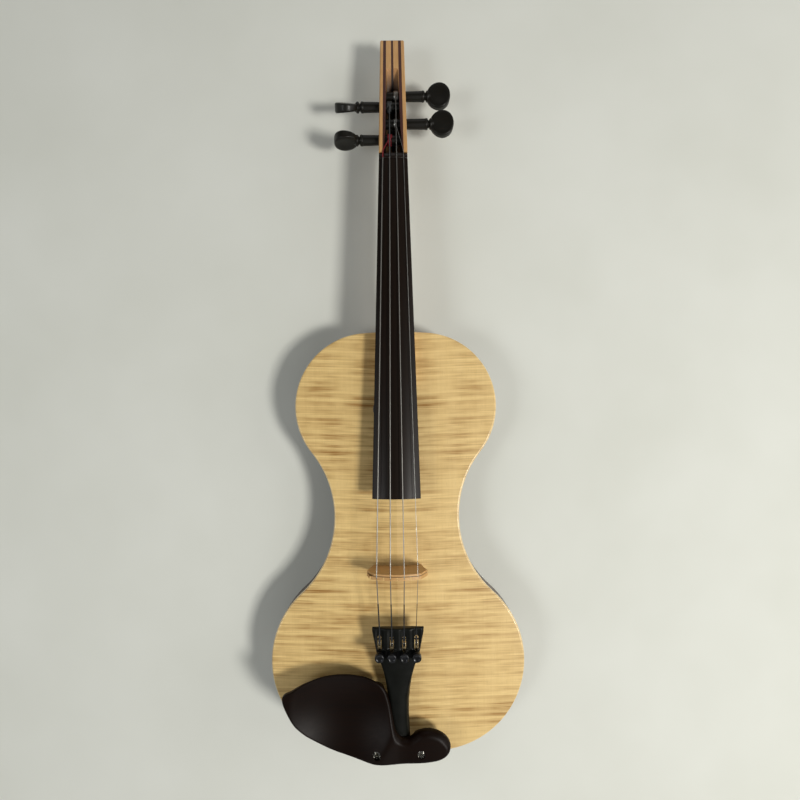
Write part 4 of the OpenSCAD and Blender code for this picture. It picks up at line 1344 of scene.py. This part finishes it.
# ---------------------------------------------------------------------------
# Strings
# ---------------------------------------------------------------------------
@dataclass
class StringSet:
    """Four strings from their pegs to the tuner forks, with silk at both ends."""

    bare_behind: float = 22.0

    def bridge_z(self, index: int) -> float:
        """Level of a string on the bridge."""
        return LEVEL.z_bridge - float(sagitta(LEVEL.board_r, LEVEL.spread(LEVEL.bridge_spread, index)))

    def path(self, index: int) -> list[Array]:
        """Runs of a string: peg to nut, nut to behind the bridge, and on to the tuner fork."""
        r = LEVEL.string_r[index]
        peg_y, peg_z = LEVEL.peg_axis(index)
        nut_x = LEVEL.spread(LEVEL.nut_spread, index)
        nut_z = float(LEVEL.board_top(LEVEL.y_board, nut_x)) + 0.5 + r
        coil = Pegs()
        start = np.array(
            [LEVEL.peg_side[index] * (0.6 + coil.width[index] / 2), peg_y, peg_z + LEVEL.peg_r + r]
        )
        bend = [
            start, (nut_x * 0.975, LEVEL.y_nut + 1.6, nut_z - 1.15),
            (nut_x * 0.99, LEVEL.y_nut - 0.4, nut_z - 0.42), (nut_x, LEVEL.y_nut - 2.4, nut_z - 0.03),
            (nut_x, LEVEL.y_board + 0.6, nut_z)
        ]
        head = self.fine(bend, 0.45)
        bx, bz = LEVEL.spread(LEVEL.bridge_spread, index), self.bridge_z(index)
        tx = LEVEL.spread(LEVEL.tail_spread, index)
        fork = LEVEL.tail_place(np.array([[tx, -1.8, tail_arch(tx) - 1.3], [tx, -13.2, tail_arch(tx) - 0.9]]))
        crown = np.array([bx, LEVEL.y_bridge - 1.0, bz])
        run = (fork[0] - crown) / np.linalg.norm(fork[0] - crown)
        split = crown + run * self.bare_behind
        main = [
            (nut_x, LEVEL.y_board + 0.6, nut_z), (bx, LEVEL.y_bridge + 2.2, bz - 0.02),
            (bx, LEVEL.y_bridge + 0.6, bz + 0.03), crown, split
        ]
        return [head, self.fine(main, 0.5), self.fine([split, fork[0], fork[1]], 0.5)]

    def fine(self, corners: Sequence, round_off: float) -> Array:
        """Path through corners with each inner corner eased over a short length.

        Args:
            corners: Points to pass.
            round_off: Distance from a corner at which the easing starts.

        Returns:
            The path's points.
        """
        p = [np.asarray(c, float) for c in corners]
        out = [p[0]]
        for before, corner, after in zip(p, p[1:], p[2:]):
            for other, order in ((before, (1.0, 0.5)), (after, (0.5, 1.0))):
                run = other - corner
                length = min(round_off, np.linalg.norm(run) * 0.4)
                run = run / np.linalg.norm(run)
                out.extend(corner + run * length * k for k in order)
        out.append(p[-1])
        return np.array(out)

    def build(self, maker: Maker) -> None:
        """Makes the strings, their silk and their ball ends."""
        for i, string in enumerate(STRINGS):
            head, main, tail = self.path(i)
            r = LEVEL.string_r[i]
            finish, slot = (STRING_PLAIN, "string_plain") if i == 3 else (STRING_WOUND, "string_wound")
            maker.piece(
                f"string_{string}_run", sweep(main, r, 16), finish, replaces=(f"string_{string}",)
            )
            end, end_slot = HEAD_ENDS[i]
            maker.piece(f"string_{string}_head_end", sweep(head, r * 1.06, 14), end)
            maker.piece(f"string_{string}_tail_end", sweep(tail, r * 1.25, 14), SILK_BLACK)
            x = LEVEL.spread(LEVEL.tail_spread, i)
            barrel = [
                (0.5, -1.15), (0.95, -1.2), (1.2, -1.0), (1.25, 0.0), (1.2, 1.0), (0.95, 1.2), (0.5, 1.15),
                (0.45, 0.0), (0.5, -1.15)
            ]
            line = np.array(barrel)
            angle = np.linspace(0, 2 * math.pi, 40, endpoint=False)
            rings = np.stack(
                [
                    line[None, :, 0] * np.cos(angle)[:, None], line[None, :, 0] * np.sin(angle)[:, None],
                    np.repeat(line[None, :, 1], 40, 0)
                ],
                -1
            )
            tube = Shape(rings.reshape(-1, 3), [self.around(40, len(line))])
            lay = along_x(1, (x, -16.9, tail_arch(x) - 0.4))
            maker.piece(
                f"ball_{string}", tube.mapped(lambda p, lay=lay: LEVEL.tail_place(lay(p))), BALL_BRASS,
                body=f"tuner_lever_{string}", replaces=(f"string_ball_{string}",)
            )

    def around(self, rows: int, columns: int) -> Array:
        """Quads of a tube whose last ring joins its first."""
        k = np.arange(rows)[:, None] * columns
        following = (np.arange(rows)[:, None] + 1) % rows * columns
        i = np.arange(columns - 1)[None, :]
        return np.stack([k + i, k + i + 1, following + i + 1, following + i], -1).reshape(-1, 4)


# ---------------------------------------------------------------------------
# Bridge
# ---------------------------------------------------------------------------
@dataclass
class Bridge:
    """Two maple plates with the pickup film between them."""

    face: float = -132.15
    front: float = 1.5
    film: float = 0.5
    back: float = 2.6
    kerf: float = 1.1
    kerf_depth: float = 9.0

    def outline(self, kerfs: bool) -> Array:
        """Outline across the bridge in X and Z, from the treble foot round the arched top to the bass foot.

        Args:
            kerfs: Whether the saw cuts beside the strings are there.

        Returns:
            Points of the outline.
        """
        z0, wing = LEVEL.z_top, LEVEL.z_top + 17
        flank = curve(
            [
                (19.7, z0), (20.0, z0 + 2.2), (21.2, z0 + 8), (23.2, wing - 1.4), (23.8, wing - 0.4),
                (23.2, wing + 0.3)
            ],
            5
        )
        crest = 18.2
        xs = list(np.linspace(crest, -crest, 49))
        if kerfs:
            for i in range(4):
                middle = LEVEL.spread(LEVEL.bridge_spread, i) - LEVEL.bridge_spread / 6
                a, b = middle + self.kerf / 2, middle - self.kerf / 2
                xs = [x for x in xs if not b - 0.15 < x < a + 0.15] + [a, b]
            xs = sorted(xs, reverse=True)
        top: list[tuple[float, float]] = []
        for k, x in enumerate(xs):
            level = LEVEL.z_bridge - float(sagitta(LEVEL.board_r, x)) + 0.1
            top.append((x, level))
            if kerfs and k + 1 < len(xs) and abs(x - xs[k + 1] - self.kerf) < 1e-6:
                floor = level - self.kerf_depth
                top += [(x, floor), (xs[k + 1], floor)]
        arch = [
            (-10, z0), (-9.2, z0 + 1.6), (-8, z0 + 2.9), (-5.5, z0 + 3.6), (5.5, z0 + 3.6), (8, z0 + 2.9),
            (9.2, z0 + 1.6), (10, z0)
        ]
        left = flank[::-1] * [-1, 1]
        return np.vstack([flank, np.array(top), left, np.array(arch)])

    def build(self, maker: Maker) -> None:
        """Makes the two plates and dresses the film and its lead."""
        y = self.face
        maker.piece(
            "bridge_front_maple", extrude(self.outline(False), y - self.front, y, 1), BRIDGE_MAPLE,
            replaces=("bridge_front",), bevel=0.22
        )
        y -= self.front + self.film
        maker.piece(
            "bridge_back_maple", extrude(self.outline(True), y - self.back, y, 1), BRIDGE_MAPLE,
            replaces=("bridge_back",), bevel=0.18
        )
        maker.dress(PICKUP_FILM, "bridge_pickups")
        maker.dress(LEAD_JACKET, "pickup_lead")


# ---------------------------------------------------------------------------
# Tailpiece
# ---------------------------------------------------------------------------
@dataclass
class Tailpiece:
    """Moulded tailpiece with four fine tuners, and the loop that holds it to the end button."""

    length: float = 100.0
    front: float = 1.6
    screw_at: float = 22.5
    slot_half: float = 1.5
    knob_r: float = 3.7

    def half(self, u: Array) -> Array:
        """Half width at a distance behind the front edge."""
        return fair(
            u,
            [
                (0, 20.0), (1.5, 20.3), (18, 17.7), (25, 16.4), (32, 13.2), (42, 10.6), (54, 8.9),
                (68, 8.2), (84, 8.7), (92, 9.2), (96.5, 8.6), (98.8, 6.8), (99.8, 3.6), (100, 1.0)
            ]
        )

    def shape(self) -> Shape:
        """Arched plate that narrows to a bar with a rounded spine.

        The top is an arc across whose radius falls from 60 to 15 mm towards the tail. Both edges and
        both ends are rounded by r - sqrt(r^2 - (r - d)^2).
        """
        u = np.concatenate([
            [0, 0.15, 0.45, 0.9, 1.5], np.linspace(2.4, 17, 14), np.linspace(17.4, 19.6, 8),
            np.linspace(20.6, 96, 74), [97, 97.9, 98.6, 99.2, 99.6, 99.9, 100],
        ])[:, None]
        share = np.sin(np.linspace(-1, 1, 85) * math.pi / 2)[None, :]
        half = self.half(u[:, 0])[:, None]
        x = half * share
        slim = ease(u, 30, 62)
        radius = TAIL_ARCH_R + (15 - TAIL_ARCH_R) * slim
        drop = radius - np.sqrt(radius**2 - x**2)
        inside = np.minimum(half - np.abs(x), np.minimum(u, self.length - u))
        edge = 1.6 + 1.9 * slim
        tracks = sum(np.exp(-(((x - LEVEL.spread(LEVEL.tail_spread, i)) / 2.9) ** 4)) for i in range(4))
        channel = 1.2 * tracks * (1 - ease(u, 17.5, 19.2)) * ease(inside, 0.2, 2.2)
        top = 1 - drop - rounding(inside, edge) - channel
        low = -6.4 - 1.4 * slim + rounding(inside, 2.2 + 1.2 * slim) + 0.6 * ease(np.abs(x) / half, 0.5, 1)
        low = np.minimum(low, top - 0.2)
        back = u + self.front * (1 - ease(u, 0, 9))
        plan = np.dstack([x, np.repeat(-back, x.shape[1], 1)])
        return slab(plan, top, low)

    def cuts(self) -> list[Tool]:
        """Hollow below, tuner slots, string grooves, screw holes and the pocket for the loop."""
        away = Cut.AWAY
        hollow = extrude(
            [(-17.0, -3), (17.0, -3), (15.7, -24.8), (13.4, -29), (-13.4, -29), (-15.7, -24.8)], -30, -3.6,
            2
        )
        found = [Tool(away, hollow), Tool(away, block((-5.6, -97, -30), (5.6, -88, -3)))]
        for i in range(4):
            x = LEVEL.spread(LEVEL.tail_spread, i)
            t = np.linspace(0, math.pi, 9)
            ends = np.vstack(
                [
                    np.stack([x + self.slot_half * np.cos(t), -9.5 + self.slot_half * np.sin(t)], 1),
                    np.stack([x - self.slot_half * np.cos(t), -18.7 - self.slot_half * np.sin(t)], 1)
                ]
            )
            found.append(Tool(away, extrude(ends, -30, 6, 2)))
            found.append(Tool(away, block((x - 0.6, -9, tail_arch(x) - 1.9), (x + 0.6, 2, 6))))
            hole = revolve([(1.35, -30), (1.35, 8)], 32).mapped(moved((x, -self.screw_at, 0)))
            found.append(Tool(away, hole))
        return found

    def lever(self, index: int) -> Shape:
        """Bent tuner lever: an arm under the plate and two prongs that hold the ball end."""
        x = LEVEL.spread(LEVEL.tail_spread, index)
        fork = tail_arch(x) + 0.4
        arm = [
            (-9.6, -6.8), (-24.1, -6.8), (-24.1, -5.7), (-16, -5.6), (-15.6, -5), (-15.6, -2.2),
            (-12, -2.2), (-11.4, -3.6), (-9.6, -4)
        ]
        prong = [
            (-15.5, -2.6), (-15.5, fork - 0.5), (-15.0, fork), (-13.2, fork), (-12.7, fork - 0.5),
            (-12.2, -2.6)
        ]
        made = extrude(arm, x - 1.0, x + 1.0, 0)
        for low, high in ((-1.0, -0.42), (0.42, 1.0)):
            made = made + extrude(prong, x + low, x + high, 0)
        return made

    def screw(self, index: int) -> Shape:
        """Tuner screw: a plain shank below a knurled head with a dished top."""
        x = LEVEL.spread(LEVEL.tail_spread, index)
        r = self.knob_r
        knurl = lambda angle, radius: radius * (1 - 0.035 * (radius > 3.5) * (0.5 + 0.5 * np.cos(28 * angle)))
        head = [
            (0, 2.25), (r - 0.5, 2.25), (r - 0.06, 2.7), (r, 3.0), (r, 6.3), (r - 0.06, 6.6),
            (r - 0.45, 7.0), (r - 0.9, 7.15), (r - 1.3, 7.1), (r - 1.7, 6.85), (1.2, 6.75), (0, 6.75)
        ]
        shank = [(0, -5.4), (1.0, -5.4), (1.22, -5.1), (1.22, 2.8), (0, 2.8)]
        return (revolve(head, 168, knurl) + revolve(shank, 32)).mapped(moved((x, -self.screw_at, 0)))

    def loop(self) -> Array:
        """Path of the loop: out of the tailpiece, over the saddle, round the button and back."""
        exit_x, depth, reach = 3.6, -5.0, 5.35
        y, z, jack_z = LEVEL.y_bottom, LEVEL.z_top, LEVEL.jack[1]
        held = LEVEL.tail_place(
            np.array([[exit_x, -93.0, depth], [exit_x, -98.0, depth], [exit_x, -100.6, depth]])
        )
        leg = [
            *held, (4.5, y + 8.5, z + 5.1), (5.0, y + 4.6, z + 4.15), (5.0, y + 1.9, z + 4.0),
            (5.0, y - 0.1, z + 2.4), (5.1, y - 1.3, z - 1.5), (5.2, y - 2.2, z - 8),
            (reach, y - 2.9, jack_z + 5)
        ]
        angle = np.radians(np.arange(0, -181, -20))
        under = [(reach * math.cos(a), y - 2.95, jack_z + reach * math.sin(a)) for a in angle]
        other = [(-p[0], p[1], p[2]) for p in leg[::-1]]
        return curve([*leg, *under, *other], 5)

    def build(self, maker: Maker) -> None:
        """Makes the tailpiece, the tuners and the loop."""
        cuts = [Tool(tool.cut, tool.shape.mapped(LEVEL.tail_place)) for tool in self.cuts()]
        maker.piece(
            "tailpiece_composite", self.shape().mapped(LEVEL.tail_place), COMPOSITE,
            replaces=("tailpiece",), tools=cuts, sharp=42
        )
        for i, string in enumerate(STRINGS):
            maker.piece(
                f"tuner_fork_{string}", self.lever(i).mapped(LEVEL.tail_place), NICKEL,
                body=f"tuner_lever_{string}", replaces=(f"tuner_lever_{string}",), bevel=0.14
            )
            maker.piece(
                f"tuner_knob_{string}", self.screw(i).mapped(LEVEL.tail_place), BLACK_STEEL,
                body=f"tuner_screw_{string}", replaces=(f"tuner_screw_{string}",)
            )
        maker.piece(
            "tail_loop_cord", sweep(self.loop(), 0.9, 14, (0, -1, 0.35)), LOOP_CORD,
            replaces=("tail_loop",)
        )
        maker.dress(NICKEL, "tuner_pin")
        maker.dress(BRASS, "tail_loop_nuts")


# ---------------------------------------------------------------------------
# Chin rest
# ---------------------------------------------------------------------------
@dataclass
class ChinRest:
    """Carved chin rest: a cup beside the tailpiece, an arm across its end and a small lobe."""

    floor: float = 49.0
    top: float = 63.0
    ball_at: tuple[float, float, float] = (-40.0, 44.0, 135.0)
    ball_r: float = 84.0
    foot_x: float = 18.8
    bolt_x: float = 17.3
    bolt_y: float = 11.5
    rim: tuple[tuple[float, float], ...] = (
        (-90.2, 56.8), (-82.5, 62.6), (-72, 68.2), (-60, 71.8), (-48, 73), (-36, 72.6), (-26, 70.8),
        (-17, 66.8), (-10.6, 61), (-6.6, 50), (-4.6, 39.5), (-2.4, 29), (1.5, 23.6), (7, 22.6), (11.5, 25),
        (17, 28.6), (24, 29.6), (32, 27.2), (38, 22.4), (40.6, 16.5), (38.6, 10.8), (32.5, 6.6), (22, 4.6),
        (9, 4), (-5.6, 4), (-20.6, 5.6), (-40.5, 10.7), (-53.4, 15.2), (-65.3, 21.6), (-75.2, 28.8),
        (-83.4, 39),
    )

    def plan(self) -> tuple[Array, Array]:
        """Grid over the outline, on lines of equal X from its rear to its front edge.

        The lines lie closer together towards both tips, and the points towards both edges, at
        (1 - cos a) / 2. The first and last line stop just short of a tip, so that none has zero length.

        Returns:
            The grid, and the distance of each of its points from the outline.
        """
        line = curve(self.rim, 10, closed=True)
        left, right = int(np.argmin(line[:, 0])), int(np.argmax(line[:, 0]))
        ring = np.roll(line, -left, 0)
        right = (right - left) % len(line)
        front, rear = ring[: right + 1], np.vstack([ring[right:], ring[:1]])[::-1]
        middle, reach = (front[-1, 0] + front[0, 0]) / 2, (front[-1, 0] - front[0, 0]) / 2
        xs = middle - reach * np.cos(np.linspace(0.04, math.pi - 0.04, 180))
        y_front = np.interp(xs, np.maximum.accumulate(front[:, 0]), front[:, 1])
        y_rear = np.interp(xs, np.maximum.accumulate(rear[:, 0]), rear[:, 1])
        share = (1 - np.cos(np.linspace(0, math.pi, 49))) / 2
        y = y_rear[:, None] + (y_front - y_rear)[:, None] * share
        grid = np.dstack([np.repeat(xs[:, None], len(share), 1), y])
        a, b = line, np.roll(line, -1, 0)
        flat = grid.reshape(-1, 1, 2)
        t = np.clip(((flat - a) * (b - a)).sum(-1) / ((b - a) ** 2).sum(-1), 0, 1)
        distance = np.linalg.norm(flat - a - t[..., None] * (b - a), axis=-1).min(1)
        return grid, distance.reshape(y.shape)

    def shape(self) -> Shape:
        """Solid between the carved top and the underside.

        The top is the lower of the rim's level and a sphere that hollows the cup, blended by
        m = (a + b - sqrt((a - b)^2 + k^2)) / 2, and its edge is rounded by the distance from the outline.
        """
        grid, inside = self.plan()
        x, y = grid[..., 0], grid[..., 1]
        arm = ease(x, -24, 8)
        rim = self.top - 3.7 * arm - 0.0016 * np.square(np.clip(x - 20, -20, 40)) * arm
        ball_x, ball_y, ball_z = self.ball_at
        below = self.ball_r**2 - np.square(x - ball_x) - np.square(y - ball_y)
        sphere = ball_z - np.sqrt(np.maximum(below, 0))
        blend = (rim + sphere - np.sqrt(np.square(rim - sphere) + 6)) / 2
        upper = blend - rounding(inside, 1.3 + arm * (1.0 + 3.6 * ease(y, 9, 21)))
        arch = ease(x, -12.4, -10.4) - ease(x, 10.4, 12.4)
        cup_side = 7.5 * (1 - ease(inside, 0, 20)) * (1 - ease(x, -24, -12))
        undercut = cup_side + 3.5 * (1 - ease(inside, 0, 9)) * ease(x, 12, 20)
        lower = self.floor + np.maximum(6 * arch, undercut) + rounding(inside, 2.0) * (1 - arch)
        lower = np.minimum(lower, upper - 0.5)
        place = grid + [0, LEVEL.y_bottom]
        return slab(place, upper, lower)

    def build(self, maker: Maker) -> None:
        """Makes the rest and dresses its bolts and pads."""
        tools = []
        for side in (-1, 1):
            x, y = side * self.foot_x, LEVEL.y_bottom + self.bolt_y
            corners = [(-6, -4), (-5, -5), (5, -5), (6, -4), (6, 4), (5, 5), (-5, 5), (-6, 4)]
            foot = curve([(x + dx, y + dy) for dx, dy in corners], 4, closed=True)
            tools.append(Tool(Cut.JOINED, extrude(foot, LEVEL.z_top + 3, self.floor + 2.6, 2)))
        for side in (-1, 1):
            place = moved((side * self.bolt_x, LEVEL.y_bottom + self.bolt_y, 0))
            tools.append(Tool(Cut.AWAY, revolve([(3.1, 52), (3.1, 80)], 48).mapped(place)))
            tools.append(Tool(Cut.AWAY, revolve([(1.7, 30), (1.7, 60)], 32).mapped(place)))
        maker.piece(
            "chin_rest_wood", self.shape(), REST_WOOD, replaces=("chin_rest",), tools=tools,
            sharp=48
        )
        self.bolts(maker)
        maker.dress(CORK, "chin_rest_pads")
        maker.dress(BRASS, "bolt_inserts")

    def bolts(self, maker: Maker) -> None:
        """Two socket-head bolts: a rounded head with a hexagonal socket on a long shank."""
        shapes, sockets = [], []
        head = curve([(2.75, 52), (2.85, 52.4), (2.85, 57.4), (2.7, 57.9), (2.3, 58.1), (1.9, 58.1)], 4)
        profile = np.vstack([[(0, 24.5), (1.2, 24.5), (1.5, 24.9), (1.5, 52)], head, [(0, 58.1)]])
        hexagon = [(1.55 * math.cos(k * math.pi / 3), 1.55 * math.sin(k * math.pi / 3)) for k in range(6)]
        for side in (-1, 1):
            place = moved((side * self.bolt_x, LEVEL.y_bottom + self.bolt_y, 0))
            shapes.append(revolve(profile, 48).mapped(place))
            sockets.append(Tool(Cut.AWAY, extrude(hexagon, 55.4, 70, 2).mapped(place)))
        maker.piece(
            "chin_rest_bolts_socket_head", shapes[0] + shapes[1], NICKEL,
            replaces=("chin_rest_bolts",), tools=sockets
        )


# ---------------------------------------------------------------------------
# Electrics
# ---------------------------------------------------------------------------
@dataclass
class Electrics:
    """Volume wheel, pot and output jack."""

    at: tuple[float, float] = (-8.3, -5.5)

    def build(self, maker: Maker) -> None:
        """Makes the wheel and dresses the metal parts."""
        knurl = lambda angle, radius: radius * (1 - 0.03 * (radius > 9.2) * (0.5 + 0.5 * np.cos(48 * angle)))
        profile = [
            (0, 40.2), (9.3, 40.2), (9.9, 40.6), (10, 41.0), (10, 43.8), (9.9, 44.2), (9.3, 44.6),
            (8.2, 44.6), (7.8, 44.3), (3.2, 44.3), (2.8, 44.6), (0, 44.6)
        ]
        maker.piece(
            "volume_wheel_knurled", revolve(profile, 240, knurl).mapped(moved((*self.at, 0))),
            BLACK_PLASTIC, body="volume_knob", replaces=("volume_wheel",)
        )
        maker.dress(CASE_METAL, "volume_pot", "output_jack")
        maker.dress(NICKEL, "pot_nut", "volume_shaft", "jack_nut")
        maker.dress(LEAD_JACKET, "jack_lead")


# ---------------------------------------------------------------------------
# Studio
# ---------------------------------------------------------------------------
@dataclass
class Studio:
    """Pale floor, soft lights and the camera straight above the instrument."""

    eye: tuple[float, float, float] = (0.0, -0.0145, 0.513)
    lean: float = math.radians(-0.57)
    lens: float = 26.3
    sensor: float = 36.0
    shift: tuple[float, float] = (0.0053, 0.025)

    def floor(self) -> None:
        """Sheet of backdrop paper, with a very slight unevenness."""
        n = 41
        axis = np.linspace(-1500, 1500, n)
        x, y = np.meshgrid(axis, axis, indexing="ij")
        z = -0.4 - 0.15 * (1 + np.sin(x / 310) * np.cos(y / 270))
        shape = Shape(np.dstack([x, y, z]).reshape(-1, 3), [grid_faces(n, n, False)[:, ::-1]])
        obj = solid("floor_paper", shape)
        obj.data.materials.append(PAPER.material())

    def lamp(self, name: str, place: Sequence, size: float, power: float, warmth: Sequence) -> None:
        """Square soft light that faces the middle of the instrument.

        Args:
            name: Name of the light.
            place: Where it hangs, in metres.
            size: Side of its square, in metres.
            power: Power, in watts.
            warmth: Colour.
        """
        light = bpy.data.lights.new(name, "AREA")
        light.size, light.energy, light.color = size, power, warmth
        obj = bpy.data.objects.new(name, light)
        bpy.context.scene.collection.objects.link(obj)
        obj.location = place
        aim = -obj.location
        obj.rotation_euler = aim.to_track_quat("-Z", "Y").to_euler()

    def camera(self) -> None:
        """Camera that looks straight down."""
        data = bpy.data.cameras.new("camera")
        data.lens, data.sensor_width = self.lens, self.sensor
        data.shift_x, data.shift_y = self.shift
        obj = bpy.data.objects.new("camera", data)
        bpy.context.scene.collection.objects.link(obj)
        obj.location = self.eye
        obj.rotation_euler = (0, 0, self.lean)
        bpy.context.scene.camera = obj

    def build(self) -> None:
        """Makes the floor, the lights, the sky and the camera."""
        self.floor()
        self.lamp("key_right", (0.8, -0.4, 1.24), 0.27, 15.5, (1.0, 0.985, 0.94))
        self.lamp("fill_left", (-1.0, -0.4, 1.4), 0.5, 5.5, (0.96, 0.99, 1.0))
        self.lamp("wall_right", (1.9, 0.3, 0.9), 1.6, 13, (1.0, 0.99, 0.96))
        self.lamp("wall_left", (-1.9, 0.2, 0.9), 1.6, 5.5, (0.97, 0.99, 1.0))
        self.lamp("wall_head", (0.1, 1.9, 0.9), 1.6, 6, (1.0, 1.0, 1.0))
        self.lamp("wall_foot", (0.1, -1.9, 0.9), 1.6, 6, (1.0, 1.0, 1.0))
        world = bpy.data.worlds.new("sky")
        bpy.context.scene.world = world
        world.use_nodes = True
        sky = world.node_tree.nodes["Background"]
        sky.inputs[0].default_value = linear("#e6e8ea")
        sky.inputs[1].default_value = 0.05
        self.camera()


def keep_sizes() -> None:
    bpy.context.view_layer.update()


def main() -> None:
    """Builds the sub-assemblies in order."""
    logging.basicConfig(level=logging.INFO, format="%(message)s")
    scene = bpy.context.scene
    scene.view_settings.view_transform = "Standard"
    maker = Maker()
    for part in (Body(), Neck(), Pegs(), StringSet(), Bridge(), Tailpiece(), ChinRest(), Electrics()):
        part.build(maker)
        LOG.info("%s done, %d pieces so far", type(part).__name__, len(maker.made))
    Studio().build()
    keep_sizes()


if __name__ == "__main__":
    main()
